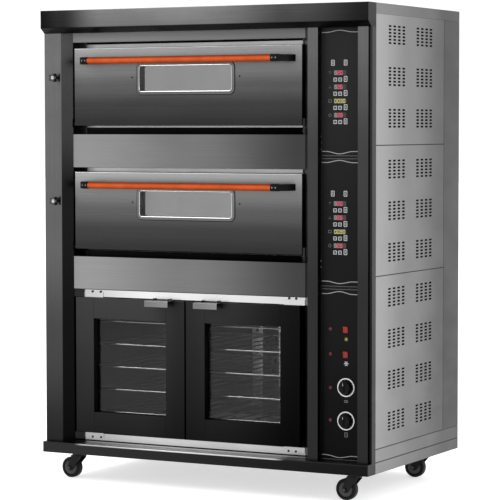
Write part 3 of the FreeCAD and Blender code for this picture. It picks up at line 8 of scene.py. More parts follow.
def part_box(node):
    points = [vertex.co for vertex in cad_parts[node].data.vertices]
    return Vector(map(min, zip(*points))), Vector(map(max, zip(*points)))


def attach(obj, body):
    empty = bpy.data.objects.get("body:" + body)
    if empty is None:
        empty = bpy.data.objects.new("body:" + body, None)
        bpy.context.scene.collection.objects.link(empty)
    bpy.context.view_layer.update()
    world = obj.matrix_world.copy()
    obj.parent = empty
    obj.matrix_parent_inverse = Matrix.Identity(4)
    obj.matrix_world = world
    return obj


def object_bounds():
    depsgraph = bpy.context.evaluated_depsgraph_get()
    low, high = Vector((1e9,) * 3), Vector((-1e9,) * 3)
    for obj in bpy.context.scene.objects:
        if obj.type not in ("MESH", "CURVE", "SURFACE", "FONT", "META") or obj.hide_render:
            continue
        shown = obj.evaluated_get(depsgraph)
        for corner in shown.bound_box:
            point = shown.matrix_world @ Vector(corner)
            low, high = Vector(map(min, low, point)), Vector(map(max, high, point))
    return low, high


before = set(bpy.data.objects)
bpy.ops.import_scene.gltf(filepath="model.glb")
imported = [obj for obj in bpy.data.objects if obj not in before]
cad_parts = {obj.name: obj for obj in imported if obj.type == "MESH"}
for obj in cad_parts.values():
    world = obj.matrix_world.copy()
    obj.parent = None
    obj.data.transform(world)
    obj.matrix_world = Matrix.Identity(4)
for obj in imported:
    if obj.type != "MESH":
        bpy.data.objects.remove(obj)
cad_low, cad_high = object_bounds()

# The looks of a two-deck bakery oven that stands on a two-door proofer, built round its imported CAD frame.
# Lengths are metres in the frame's own axes: X to the right, Y to the back, Z up.
# MM turns millimetres into metres.
MM = 0.001
DECKS = ("upper", "lower")
SIDES = ("left", "right")
CORNERS = ("front_left", "front_right", "rear_left", "rear_right")
FORWARD = (0, -1, 0)
BACKWARD = (0, 1, 0)
DOWNWARD = (0, 0, -1)
ROUND = 32
HEXAGON = 6
CORNER_STEPS = 6
SHARP = math.radians(35)
WELD = 0.001 * MM


# ---------------- materials

# Nearly all of a noise texture lies between the first two values, and most of a smear between the last two.
NOISE_LOW, NOISE_HIGH = 0.3, 0.7
SMEAR_LOW, SMEAR_HIGH = 0.35, 0.65
SMEAR_GRAIN = (5.0, 5.0, 9.0)
LONG_GRAIN = 3.0
FINE_GRAIN = 2200.0
GRAIN_ALONG = {
    "X": (LONG_GRAIN, FINE_GRAIN, FINE_GRAIN),
    "Y": (FINE_GRAIN, LONG_GRAIN, FINE_GRAIN),
    "Z": (FINE_GRAIN, FINE_GRAIN, LONG_GRAIN),
}
HAIRLINE_STRENGTH = 0.12
HAIRLINE_HEIGHT = 0.02 * MM
HAIRLINE_SHINE = 0.05
SEAM_TONE = 0.12
SEAM_CORE = 1.2 * MM
SEAM_EDGE = 2.4 * MM
# A mix node for colours has these sockets.
MIX_FACTOR, MIX_FIRST, MIX_SECOND, MIX_RESULT = 0, 6, 7, 2


class Surface:
    """A Principled material whose nodes read only the piece's own coordinates."""

    def __init__(self, name, colour, roughness, metallic=0.0, **sockets):
        self.material = bpy.data.materials.new(name)
        self.material.use_nodes = True
        self.tree = self.material.node_tree
        self.shader = self.tree.nodes["Principled BSDF"]
        self.shader.inputs["Base Color"].default_value = (*colour, 1)
        self.shader.inputs["Roughness"].default_value = roughness
        self.shader.inputs["Metallic"].default_value = metallic
        for socket, value in sockets.items():
            self.shader.inputs[socket.replace("_", " ")].default_value = value
        self.origin = self.tree.nodes.new("ShaderNodeTexCoord").outputs["Object"]

    def fill(self, made, values):
        """Sets or links input sockets. Values are pairs of a socket's name or number and what goes in."""
        for key, value in values:
            socket = made.inputs[key]
            if isinstance(value, bpy.types.NodeSocket):
                self.tree.links.new(value, socket)
            else:
                socket.default_value = value

    def add(self, kind, settings=None, **inputs):
        """A new node, with its own settings and its input sockets set or linked by name."""
        made = self.tree.nodes.new(kind)
        for key, value in (settings or {}).items():
            setattr(made, key, value)
        self.fill(made, [(key.replace("_", " "), value) for key, value in inputs.items()])
        return made

    def reckon(self, operation, *values):
        """The result of one arithmetic node."""
        made = self.add("ShaderNodeMath", {"operation": operation})
        self.fill(made, enumerate(values))
        return made.outputs["Value"]

    def noise(self, grain, detail=3.0, rough=0.55):
        """Noise whose spots are 1 / grain metres long. The grain can differ from axis to axis."""
        scale = grain if isinstance(grain, tuple) else (grain, grain, grain)
        stretched = self.add("ShaderNodeMapping", Vector=self.origin, Scale=scale).outputs["Vector"]
        return self.add("ShaderNodeTexNoise", Vector=stretched, Scale=1.0,
                        Detail=detail, Roughness=rough).outputs["Fac"]

    def spread(self, value, low, high, start=0.0, end=1.0):
        """A factor that runs from low to high while value runs from start to end."""
        made = self.add("ShaderNodeMapRange", Value=value, From_Min=start, From_Max=end,
                        To_Min=low, To_Max=high)
        return made.outputs["Result"]

    def vary(self, noise, low, high):
        """A factor that swings from low to high over the usual span of a noise."""
        return self.spread(noise, low, high, NOISE_LOW, NOISE_HIGH)

    def smears(self, low, high):
        """A factor that swings from low to high over wide faint wiping marks."""
        return self.spread(self.noise(SMEAR_GRAIN, 5.0), low, high, SMEAR_LOW, SMEAR_HIGH)

    def place_on(self, axis):
        """The piece's coordinate along one axis."""
        return self.add("ShaderNodeSeparateXYZ", Vector=self.origin).outputs[axis]

    def along(self, axis, start, end):
        """A factor that runs from 0 to 1 along one axis, between two places."""
        return self.spread(self.place_on(axis), 0.0, 1.0, start, end)

    def fade(self, factor, stops):
        """A colour that changes smoothly with a factor.

        Stops are pairs of place and grey or colour, or greys alone, which are spread evenly.
        """
        if not isinstance(stops[0], tuple):
            stops = [(index / (len(stops) - 1), tone) for index, tone in enumerate(stops)]
        made = self.add("ShaderNodeValToRGB", Fac=factor)
        ramp = made.color_ramp
        ramp.interpolation = "EASE"
        while len(ramp.elements) < len(stops):
            ramp.elements.new(0.5)
        for element, (place, tone) in zip(ramp.elements, stops):
            element.position = place
            element.color = (*tone, 1) if isinstance(tone, tuple) else (tone, tone, tone, 1)
        return made.outputs["Color"]

    def mixed(self, mode, first, second, factor=1.0):
        """Two colours put together by multiplying or mixing."""
        made = self.add("ShaderNodeMix", {"data_type": "RGBA", "blend_type": mode})
        self.fill(made, ((MIX_FACTOR, factor), (MIX_FIRST, first), (MIX_SECOND, second)))
        return made.outputs[MIX_RESULT]

    def dimmed(self, base, factor):
        """The base colour multiplied by a factor."""
        grey = self.add("ShaderNodeCombineColor", Red=factor, Green=factor, Blue=factor)
        return self.mixed("MULTIPLY", base, grey.outputs["Color"])

    def paint(self, colour):
        self.tree.links.new(colour, self.shader.inputs["Base Color"])

    def polish(self, value):
        self.tree.links.new(value, self.shader.inputs["Roughness"])

    def bump(self, height, strength, distance):
        made = self.add("ShaderNodeBump", Height=height, Strength=strength, Distance=distance)
        self.tree.links.new(made.outputs["Normal"], self.shader.inputs["Normal"])

    def glow(self, colour, strength):
        self.shader.inputs["Emission Color"].default_value = (*colour, 1)
        self.shader.inputs["Emission Strength"].default_value = strength

    def shaded(self, base, shades):
        """The base colour, dimmed along axes. A shade is an axis, two places and a factor at each."""
        for axis, start, end, first, last in shades:
            base = self.dimmed(base, self.spread(self.along(axis, start, end), first, last))
        return base

    def seamed(self, base, seams):
        """The base colour, dark along thin lines. A seam is an axis and a place on it."""
        for axis, place in seams:
            distance = self.reckon("ABSOLUTE", self.reckon("SUBTRACT", self.place_on(axis), place))
            base = self.dimmed(base, self.spread(distance, SEAM_TONE, 1.0, SEAM_CORE, SEAM_EDGE))
        return base

    def worn(self, base, amount, spot=60.0):
        """Paints the base colour, a little lighter and darker in cloudy patches."""
        cloud = self.vary(self.noise(spot, 4.0), 1 - amount, 1 + amount)
        self.paint(self.dimmed(base, cloud))

    def hairlines(self, base, axis, depth):
        """Paints the base colour with fine lines along an axis, which stand a little proud."""
        lines = self.noise(GRAIN_ALONG[axis], 2.0)
        self.paint(self.dimmed(base, self.vary(lines, 1 - depth, 1 + depth)))
        self.bump(lines, HAIRLINE_STRENGTH, HAIRLINE_HEIGHT)
        return lines


def brushed(name, tones, grain_axis, fade_axis, start, end, roughness, depth=0.10, shades=(), front=None,
            front_tones=(), seams=()):
    """Brushed metal: a tone that fades along one axis as a painted reflection, hairlines along another, and
    faint smears.

    What lies before the depth front can have tones of its own, on the same fade.
    """
    surface = Surface(name, (0.5, 0.5, 0.5), roughness, metallic=1.0)
    place = surface.along(fade_axis, start, end)
    base = surface.fade(place, tones)
    if front_tones:
        behind = surface.along("Y", front, front + 1 * MM)
        base = surface.mixed("MIX", surface.fade(place, front_tones), base, behind)
    base = surface.seamed(surface.shaded(base, shades), seams)
    hairline = surface.hairlines(base, grain_axis, depth)
    grain = surface.vary(hairline, -HAIRLINE_SHINE, HAIRLINE_SHINE)
    surface.polish(surface.reckon("ADD", grain, surface.smears(roughness - 0.04, roughness + 0.05)))
    return surface.material


def plain_steel(name, first, last, roughness=0.3):
    """Brushed steel that fades from one tone to another across the whole oven."""
    return brushed(name, (first, last), "X", "X", cad_low.x, cad_high.x, roughness)


def moulded(name, colour, roughness, specular=0.5):
    """Moulded plastic or rubber with a fine spark-eroded texture."""
    surface = Surface(name, colour, roughness, Specular_IOR_Level=specular)
    texture = surface.noise(900.0, 2.0)
    surface.worn((*colour, 1), 0.12)
    surface.polish(surface.vary(texture, roughness - 0.06, roughness + 0.08))
    surface.bump(texture, 0.3, 0.05 * MM)
    return surface.material


def coated(name, colour, roughness, metallic=0.0, peel=0.06, shades=(), specular=0.5):
    """Sprayed or powder-coated metal with orange peel and dusty wear."""
    surface = Surface(name, colour, roughness, metallic, Specular_IOR_Level=specular)
    peel_height = surface.noise(420.0, 3.0)
    surface.worn(surface.shaded((*colour, 1), shades), 0.14, 25.0)
    surface.polish(surface.vary(surface.noise(30.0, 5.0), roughness - 0.05, roughness + 0.08))
    surface.bump(peel_height, 0.35, peel * MM)
    return surface.material


def printed(name, colour, roughness=0.4, glow=0.0):
    """Ink or a lit segment: an almost even colour, a little patchy, which may glow."""
    surface = Surface(name, colour, roughness)
    surface.worn((*colour, 1), 0.05, 400.0)
    surface.glow(colour, glow)
    surface.polish(surface.vary(surface.noise(300.0), roughness - 0.06, roughness + 0.06))
    return surface.material


def glazing(name, colour, mirror):
    """Tempered glass with a faint film of steam and wiping marks. Mirror is its coating's share."""
    surface = Surface(name, colour, 0.03, mirror, Transmission_Weight=1.0, IOR=1.25)
    film = surface.noise((14.0, 14.0, 4.0), 6.0)
    surface.polish(surface.spread(film, 0.0, 0.015, 0.4, 0.7))
    surface.paint(surface.dimmed((*colour, 1), surface.vary(film, 0.92, 1.0)))
    return surface.material


def hearth_material():
    """Baking stone: sandy, speckled and scorched in patches."""
    surface = Surface("hearth_stone", (0.6, 0.52, 0.42), 0.9)
    speck = surface.noise(700.0, 4.0)
    scorch = surface.noise(9.0, 5.0)
    base = surface.fade(scorch, ((0.3, (0.28, 0.2, 0.13)), (0.65, (0.62, 0.55, 0.44))))
    grit = surface.fade(speck, ((0.35, 0.7), (0.6, 1.0)))
    surface.paint(surface.mixed("MULTIPLY", base, grit))
    surface.bump(speck, 0.6, 0.3 * MM)
    return surface.material


def mottled(name, tones, grain, detail, rough, roughness, strength, height, metallic=0.0, sheen=0.0):
    """A matted or scaly surface: two colours in patches, which stand at different heights."""
    surface = Surface(name, tones[0], roughness, metallic, Sheen_Weight=sheen)
    patches = surface.noise(grain, detail, rough)
    surface.paint(surface.fade(patches, ((NOISE_LOW, tones[0]), (NOISE_HIGH, tones[1]))))
    surface.bump(patches, strength, height)
    return surface.material


def chrome_material():
    """Bright chrome plate with small pits."""
    surface = Surface("chrome_wire", (0.72, 0.72, 0.73), 0.12, metallic=1.0)
    pits = surface.noise(260.0, 4.0)
    surface.worn((0.72, 0.72, 0.73, 1), 0.1, 40.0)
    surface.polish(surface.spread(pits, 0.08, 0.2, 0.4, 0.7))
    surface.bump(pits, 0.1, 0.03 * MM)
    return surface.material


def lens_material(name, colour):
    """Ribbed red plastic that lets some light through."""
    surface = Surface(name, colour, 0.15, Transmission_Weight=0.25, IOR=1.3)
    wave_node = surface.add("ShaderNodeTexWave", {"bands_direction": "X"}, Vector=surface.origin,
                            Scale=260.0, Distortion=0.0)
    ribs = wave_node.outputs["Fac"]
    surface.worn((*colour, 1), 0.15, 200.0)
    surface.polish(surface.spread(ribs, 0.1, 0.2))
    surface.bump(ribs, 0.4, 0.15 * MM)
    surface.glow(colour, 0.05)
    return surface.material


def dress(nodes, material):
    """Gives every material slot of a CAD node, or of a list of nodes, one material."""
    for node in [nodes] if isinstance(nodes, str) else nodes:
        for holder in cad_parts[node].material_slots:
            holder.material = material


def per(stem, endings):
    """The names of a set of nodes."""
    return ["%s_%s" % (stem, ending) for ending in endings]


# ---------------- mesh tools

def stand(name, data):
    """A new object of the scene."""
    made = bpy.data.objects.new(name, data)
    bpy.context.scene.collection.objects.link(made)
    return made


def finish_piece(name, mesh, material, body):
    """Links a finished mesh, gives it its material and lets it ride on its body."""
    mesh.materials.append(material)
    mesh.polygons.foreach_set("use_smooth", [True] * len(mesh.polygons))
    mesh.set_sharp_from_angle(angle=SHARP)
    piece = stand(name, mesh)
    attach(piece, body)


def draw_line(curve, points):
    """Adds a closed line through points to a curve."""
    spline = curve.splines.new("POLY")
    spline.points.add(len(points) - 1)
    for knot, point in zip(spline.points, points):
        knot.co = (*point, 1)
    spline.use_cyclic_u = True


def baked(name, curve):
    """A mesh of a curve, which is then removed."""
    holder = bpy.data.objects.new(name, curve)
    mesh = bpy.data.meshes.new_from_object(holder)
    bpy.data.objects.remove(holder)
    bpy.data.curves.remove(curve)
    return mesh


def stamped(name, loops, front, thickness, material, body, bevel=0.0):
    """A flat plate that faces the front, cut to closed outlines of X and Z.

    An outline inside another is a hole.
    """
    flat = bpy.data.curves.new(name, "CURVE")
    flat.dimensions = "2D"
    flat.fill_mode = "BOTH"
    flat.extrude = thickness / 2 - bevel
    flat.bevel_depth = bevel
    flat.bevel_resolution = 1
    flat.offset = -bevel
    for loop in loops:
        draw_line(flat, [(x, z, 0) for x, z in loop])
    mesh = baked(name, flat)
    upright = Matrix.Translation((0, front + thickness / 2, 0)) @ Matrix.Rotation(math.pi / 2, 4, "X")
    mesh.transform(upright)
    shape = bmesh.new()
    shape.from_mesh(mesh)
    bmesh.ops.remove_doubles(shape, verts=shape.verts, dist=WELD)
    bmesh.ops.recalc_face_normals(shape, faces=shape.faces)
    shape.to_mesh(mesh)
    shape.free()
    finish_piece(name, mesh, material, body)


def in_mm(pairs):
    """Pairs of lengths given in millimetres, as metres."""
    return [(first * MM, second * MM) for first, second in pairs]


def settled(name, shape):
    """A new mesh of a bmesh, which is then freed."""
    mesh = bpy.data.meshes.new(name)
    shape.to_mesh(mesh)
    shape.free()
    return mesh


def lathe(shape, profile, centre, outward, sides=ROUND):
    """Adds a closed solid of revolution to a bmesh. Profile is pairs of radius and distance outward."""
    turn = Vector(outward).to_track_quat("Z", "Y").to_matrix().to_4x4()
    place = Matrix.Translation(centre) @ turn
    rings = []
    for radius, height in profile:
        if radius == 0:
            rings.append([shape.verts.new(place @ Vector((0, 0, height)))])
            continue
        ring = []
        for step in range(sides):
            angle = 2 * math.pi * step / sides
            spot = Vector((radius * math.cos(angle), radius * math.sin(angle), height))
            ring.append(shape.verts.new(place @ spot))
        rings.append(ring)
    for lower, upper in zip(rings, rings[1:]):
        for step in range(sides):
            after = (step + 1) % sides
            corners = [lower[step % len(lower)], lower[after % len(lower)],
                       upper[after % len(upper)], upper[step % len(upper)]]
            unique = list(dict.fromkeys(corners))
            shape.faces.new(unique)


def turned(name, profile, places, outward, material, body, sides=ROUND):
    """One piece made of the same solid of revolution at several places."""
    shape = bmesh.new()
    for place in places:
        lathe(shape, profile, place, outward, sides)
    bmesh.ops.recalc_face_normals(shape, faces=shape.faces)
    finish_piece(name, settled(name, shape), material, body)


def rounded(x, z, width, height, radius):
    """A rectangle with rounded corners, by its centre, as a closed outline."""
    loop = []
    for corner in range(4):
        along = (1 if corner in (0, 3) else -1) * (width / 2 - radius)
        up = (1 if corner in (0, 1) else -1) * (height / 2 - radius)
        for step in range(CORNER_STEPS + 1):
            angle = math.pi / 2 * (corner + step / CORNER_STEPS)
            loop.append((x + along + radius * math.cos(angle), z + up + radius * math.sin(angle)))
    return loop


def framed(x, z, width, height, radius, inner_radius, line):
    """A rounded rectangle with a smaller one inside it, which leaves a frame of one width."""
    return [rounded(x, z, width, height, radius),
            rounded(x, z, width - 2 * line, height - 2 * line, inner_radius)]


def ring_of(x, z, radius):
    """A circle as a closed outline."""
    angles = [2 * math.pi * step / ROUND for step in range(ROUND)]
    return [(x + radius * math.cos(angle), z + radius * math.sin(angle)) for angle in angles]


def band(points, width):
    """A closed outline that follows a line of points at an even width."""
    left, right = [], []
    for index, (x, z) in enumerate(points):
        before = points[max(index - 1, 0)]
        after = points[min(index + 1, len(points) - 1)]
        run = Vector((after[0] - before[0], after[1] - before[1])).normalized()
        left.append((x - run.y * width / 2, z + run.x * width / 2))
        right.append((x + run.y * width / 2, z - run.x * width / 2))
    return left + right[::-1]


def middle(node):
    """The centre of a CAD node's box."""
    low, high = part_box(node)
    return (low + high) / 2


# ---------------- CAD nodes

STEP = 2 * MM
SHEET = 1 * MM
SILL_REFLECTION_HEIGHT = 5 * MM
FOLD_HEIGHT = 19 * MM
MOUTH_END = 40 * MM
# Where a shade starts and ends, from one side of a node's box.
RAIL_END = (42 * MM, 48 * MM)
BEARING_RISE = (50 * MM, 60 * MM)
PULL_BACK = (2.2 * MM, 3 * MM)
DAMPER_NECK = (18 * MM, 19 * MM)
TUBE_CROWN = (1 * MM, -2 * MM)
HEAD_PANEL_HEIGHT = 40 * MM
DECK_PITCH = 440 * MM
SIDE_SEAM = 767.7 * MM
BASE_SEAM = 138.5 * MM


def dress_canopy():
    """The hood: a painted reflection that is bright in its middle, dark at its ends and a little darker
    lower down, and painted shade under its bottom fold.
    """
    low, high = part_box("canopy")
    tones = ((0.0, 0.008), (0.07, 0.022), (0.2, 0.15), (0.5, 0.165), (0.78, 0.055), (1.0, 0.012))
    fold = low.z + FOLD_HEIGHT
    shades = (("Z", fold, fold + STEP, 0.22, 1.0), ("Z", fold, high.z, 0.8, 1.1))
    dress("canopy", brushed("canopy_steel", tones, "X", "X", low.x, high.x, 0.3, shades=shades))


def dress_posts():
    """Posts of mirror steel with a painted reflection that brightens up their fronts, and painted shade on
    their slanted returns, which are darker than the fronts.
    """
    low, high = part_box("left_post")
    faces = (0.014, 0.043, 0.095, 0.113, 0.121)
    returns = ((0.0, 0.003), (0.25, 0.005), (0.6, 0.01), (0.8, 0.04), (1.0, 0.06))
    dress("left_post", brushed("left_post_steel", returns, "Z", "Z", low.z, high.z, 0.28,
                               front=low.y + STEP, front_tones=faces))
    faces = ((0.0, 0.018), (0.35, 0.022), (0.7, 0.041), (1.0, 0.1))
    returns = (0.007, 0.035)
    posts = brushed("post_steel", returns, "Z", "Z", low.z, high.z, 0.32, front=low.y + STEP,
                    front_tones=faces)
    dress(["inner_post", "outer_post"], posts)


def two_fades(node, name, tones_below, tones_above, edge, blend, roughness, shades=()):
    """Brushed steel for a node, with one painted reflection fading across it below an edge and another
    above it.
    """
    low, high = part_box(node)
    surface = Surface(name, (0.5, 0.5, 0.5), roughness, metallic=1.0)
    across = surface.along("X", low.x, high.x)
    base = surface.mixed("MIX", surface.fade(across, tones_below), surface.fade(across, tones_above),
                         surface.along("Z", edge, edge + blend))
    surface.hairlines(surface.shaded(base, shades), "X", 0.1)
    surface.polish(surface.smears(roughness - 0.05, roughness + 0.05))
    dress(node, surface.material)


def dress_plinth():
    """The black plinth, with a painted reflection of the proofer's bright sill along its top edge."""
    # Painted reflection: the band above the edge shows the sill mirrored in the plinth, dark at both ends.
    sill_reflection = ((0.1, 0.02), (0.13, 0.3), (0.4, 0.5), (0.72, 0.4), (0.76, 0.015))
    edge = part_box("base_plinth")[1].z - SILL_REFLECTION_HEIGHT
    two_fades("base_plinth", "plinth_steel", (0.022, 0.008), sill_reflection, edge, 1 * MM, 0.35)


def dress_panels():
    """The panels between the doors, with painted reflections fading across them. Their folded backs are in
    painted shade.
    """
    low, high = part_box("front_panels")
    folds = ("Y", low.y + STEP, low.y + 2 * STEP, 1.0, 0.02)
    two_fades("front_panels", "panel_steel", (0.23, 0.142, 0.041), (0.16, 0.125),
              high.z - HEAD_PANEL_HEIGHT, STEP, 0.33, (folds,))


def dress_doors():
    """The drop-down doors, with a painted reflection that is bright under the handle and dark towards the
    hinges.
    """
    for deck, top in zip(DECKS, (0.27, 0.31)):
        low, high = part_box("door_shell_" + deck)
        tones = (0.027, 0.042, 0.088, 0.168, top)
        # Painted shade: the door darkens at its edges and towards its right side, and the upper door's top
        # is a little darker than the lower one's.
        edges = ("Y", high.y - 3 * STEP, high.y - 2 * STEP, 1.0, 0.15)
        right = ("X", low.x, high.x, 1.0, 0.88)
        steel = brushed("door_steel_" + deck, tones, "X", "Z", low.z, high.z, 0.3, shades=(edges, right))
        dress("door_shell_" + deck, steel)
        low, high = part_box("window_frame_" + deck)
        trim = brushed("window_trim_" + deck, (0.12, 0.16), "X", "Z", low.z, high.z, 0.2)
        dress("window_frame_" + deck, trim)


def dress_silver():
    """The satin steel of the sides, the back and the lid, with painted reflections that fade from front to
    back and painted shade towards the bottom. Their inner faces are in the dark.
    """
    low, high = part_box("side_panels_right")
    tones = (0.335, 0.198, 0.09)
    seams = (("Z", low.z), ("Z", SIDE_SEAM), ("Z", SIDE_SEAM + DECK_PITCH), ("Y", high.y + SHEET / 2))
    down = ("Z", cad_low.z, cad_high.z, 0.67, 1.06)
    for side, first, last in (("left", 1.0, 0.04), ("right", 0.04, 1.0)):
        sheet_low, sheet_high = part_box("side_panels_" + side)
        skin = sheet_low.x if side == "left" else sheet_high.x - SHEET
        inner = ("X", skin + 0.2 * SHEET, skin + 0.8 * SHEET, first, last)
        steel = brushed("side_steel_" + side, tones, "Z", "Y", low.y, high.y, 0.38, depth=0.07,
                        shades=(down, inner), seams=seams)
        dress("side_panels_" + side, steel)
    tones = ((0.0, 0.21), (0.6, 0.13), (0.8, 0.076), (1.0, 0.076))
    base = brushed("base_steel", tones, "Y", "Y", low.y, cad_high.y, 0.4, depth=0.07,
                   seams=(("Z", low.z), ("Z", BASE_SEAM)))
    dress("base_frame", base)
    lid = brushed("lid_steel", tones, "X", "Y", low.y, cad_high.y, 0.38, depth=0.07)
    dress("top_cover", lid)
    low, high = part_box("back_panel")
    inner = ("Y", high.y - 0.8 * SHEET, high.y - 0.2 * SHEET, 1.0, 3.0)
    tones = (0.058, 0.066)
    dress("back_panel", brushed("back_steel", tones, "Z", "Y", low.y, high.y, 0.4, depth=0.07,
                                shades=(down, inner), seams=(("Y", low.y - SHEET / 2),)))


def dress_inside():
    """Liners, heaters, stones, wool and the fan."""
    liner = brushed("liner_steel", (0.5, 0.55), "X", "Z", cad_low.z, cad_high.z, 0.3, depth=0.05)
    dress(["water_pan"] + per("door_lining", DECKS), liner)
    for deck, foot in zip(DECKS, (0.3, 0.012)):
        low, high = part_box("chamber_" + deck)
        # Painted light and shade on the mouth flange: a bright line along its top, a bright foot on the
        # upper deck and a dark one on the lower deck, and painted shade at its left end.
        flange = ((0.0, foot), (0.3, foot), (0.7, 0.25), (1.0, 0.4))
        ends = ("X", low.x, low.x + MOUTH_END, 0.4, 1.0)
        mouth = brushed("chamber_steel_" + deck, (0.3, 0.3), "X", "Z", low.z, high.z, 0.3,
                        depth=0.05, shades=(ends,), front=low.y + 3 * STEP, front_tones=flange)
        dress("chamber_" + deck, mouth)
    dress("steam_ducts", coated("duct_steel", (0.03, 0.03, 0.03), 0.5, 0.9))
    dress("proofer_liner", plain_steel("proofer_liner_steel", 0.08, 0.12, 0.35))
    dress("hearth_stones", hearth_material())
    yellows = ((0.45, 0.37, 0.17), (0.82, 0.74, 0.5))
    wool = mottled("mineral_wool", yellows, (90.0, 420.0, 420.0), 8.0, 0.7, 1.0, 1.0, 2 * MM, sheen=0.4)
    dress("insulation", wool)
    oxides = ((0.12, 0.09, 0.07), (0.26, 0.26, 0.28))
    dress("heating_elements", mottled("heating_rod", oxides, 40.0, 5.0, 0.55, 0.5, 0.5, 0.1 * MM, 0.8))
    dress("tray_racks", chrome_material())
    dress("fan_motor", coated("motor_enamel", (0.08, 0.085, 0.09), 0.5))
    dress("fan_wheel", coated("fan_enamel", (0.03, 0.03, 0.031), 0.45, 0.5))


def dress_bright():
    """Bright rails, pulls and hinge plates, with a painted reflection fading across them. The rails and
    plates are painted darker lower down and carry the left post's painted shadow at their left ends, and
    the pulls' insides are in painted shade.
    """
    low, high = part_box("proofer_rails")
    tones = ((0.0, 0.42), (0.35, 0.66), (0.7, 0.6), (1.0, 0.5))
    end = ("X", low.x + RAIL_END[0], low.x + RAIL_END[1], 0.05, 1.0)
    up = ("Z", low.z, high.z, 0.6, 0.93)
    dress("proofer_rails", brushed("bright_steel", tones, "X", "X", low.x, high.x, 0.25, depth=0.08,
                                   shades=(end, up)))
    bearings = ("Z", high.z + BEARING_RISE[0], high.z + BEARING_RISE[1], 1.0, 0.05)
    plates = brushed("pivot_steel", tones, "X", "X", low.x, high.x, 0.25, depth=0.08,
                     shades=(end, up, bearings))
    dress("hinge_brackets", plates)
    for side in SIDES:
        pull_low, pull_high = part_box("proofer_pull_" + side)
        inner = ("Y", pull_low.y + PULL_BACK[0], pull_low.y + PULL_BACK[1], 1.0, 0.1)
        steel = brushed("pull_steel_" + side, (0.14, 0.18), "X", "X", pull_low.x, pull_high.x,
                        0.3, depth=0.08, shades=(inner,))
        dress("proofer_pull_" + side, steel)


def dress_handles():
    """The orange tubes, and one black plastic for their brackets, the knobs and the fittings."""
    for deck in DECKS:
        low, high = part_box("handle_tube_" + deck)
        centre = (low.z + high.z) / 2
        # Painted highlight: each tube is brightest along its middle and painted darker towards its top and
        # bottom.
        top = ("Z", centre + TUBE_CROWN[0], high.z + TUBE_CROWN[1], 1.0, 0.35)
        bottom = ("Z", low.z, centre, 0.35, 1.0)
        orange = coated("orange_coating_" + deck, (0.46, 0.068, 0.012), 0.35, peel=0.02,
                        shades=(top, bottom), specular=0.05)
        dress("handle_tube_" + deck, orange)
    plastic = moulded("black_plastic", (0.0025, 0.0025, 0.003), 0.35, specular=0.08)
    dress(per("handle_brackets", DECKS) + per("knob", DECKS) + ["electrical_fittings"], plastic)


def dress_proofer_doors():
    """The proofer doors' black frames, and the glass of every door."""
    low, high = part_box("proofer_door_left")[0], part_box("proofer_door_right")[1]
    # Painted reflection and shade: the black frames fade across both doors and darken towards the bottom.
    tones = ((0.0, 0.028), (0.3, 0.029), (0.5, 0.015), (0.62, 0.019), (1.0, 0.0042))
    down = ("Z", low.z, high.z, 0.4, 1.3)
    frame_black = brushed("black_anodised", tones, "Z", "X", low.x, high.x, 0.4, depth=0.08, shades=(down,))
    dress(per("proofer_door", SIDES), frame_black)
    dress(per("proofer_glass", SIDES), glazing("proofer_glass", (0.5, 0.5, 0.5), 0.0))
    # Painted shade: the lower oven pane is a darker copy of the same glass, with less mirror than the upper
    # one.
    for deck, mirror in zip(DECKS, (0.44, 0.28)):
        dress("window_panes_" + deck, glazing("oven_glass_" + deck, (0.5, 0.5, 0.5), mirror))


def dress_controls():
    """The column's panels, red keys and lamps, and the damper pulls."""
    dress("control_panels", coated("column_black", (0.006, 0.006, 0.006), 0.4, specular=0.15))
    dress(per("rocker", DECKS), lens_material("red_key", (0.24, 0.016, 0.014)))
    dress("indicator_lamps", lens_material("red_lens", (0.12, 0.006, 0.007)))
    low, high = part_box("damper_upper")
    knob = ("Y", low.y + DAMPER_NECK[0], low.y + DAMPER_NECK[1], 0.2, 1.0)
    metal = brushed("damper_metal", (0.35, 0.3), "Y", "Y", low.y, high.y, 0.22, depth=0.05, shades=(knob,))
    dress(per("damper", DECKS), metal)


def dress_casters():
    """Powder-coated forks and plates, and rubber wheels."""
    caster = coated("caster_powder", (0.004, 0.004, 0.0045), 0.42, specular=0.15)
    dress(per("fork", CORNERS) + ["caster_plates"], caster)
    rubber = moulded("wheel_rubber", (0.004, 0.004, 0.004), 0.45, specular=0.12)
    dress(per("wheel", CORNERS), rubber)


# ---------------- control column

FILM = 0.4 * MM
INK = 0.15 * MM
FILM_INSET = 2.5 * MM
FILM_GAP = 3 * MM
FILM_CORNER = 2 * MM
ROCKER_HOLE = (22 * MM, 27 * MM)
ROCKER_HOLE_CORNER = 1.5 * MM
KNOB_HOLE = 6 * MM
LAMP_HOLE = 6.4 * MM
UPPER_KNOB_LAMP = 387.3 * MM
COLUMN_SPLITS = (727 * MM, 1167.5 * MM)
WAVE_CENTRE = 516 * MM
WAVE_HALF = 50 * MM
WAVE_INSET = 4 * MM
WAVE_STEPS = 40
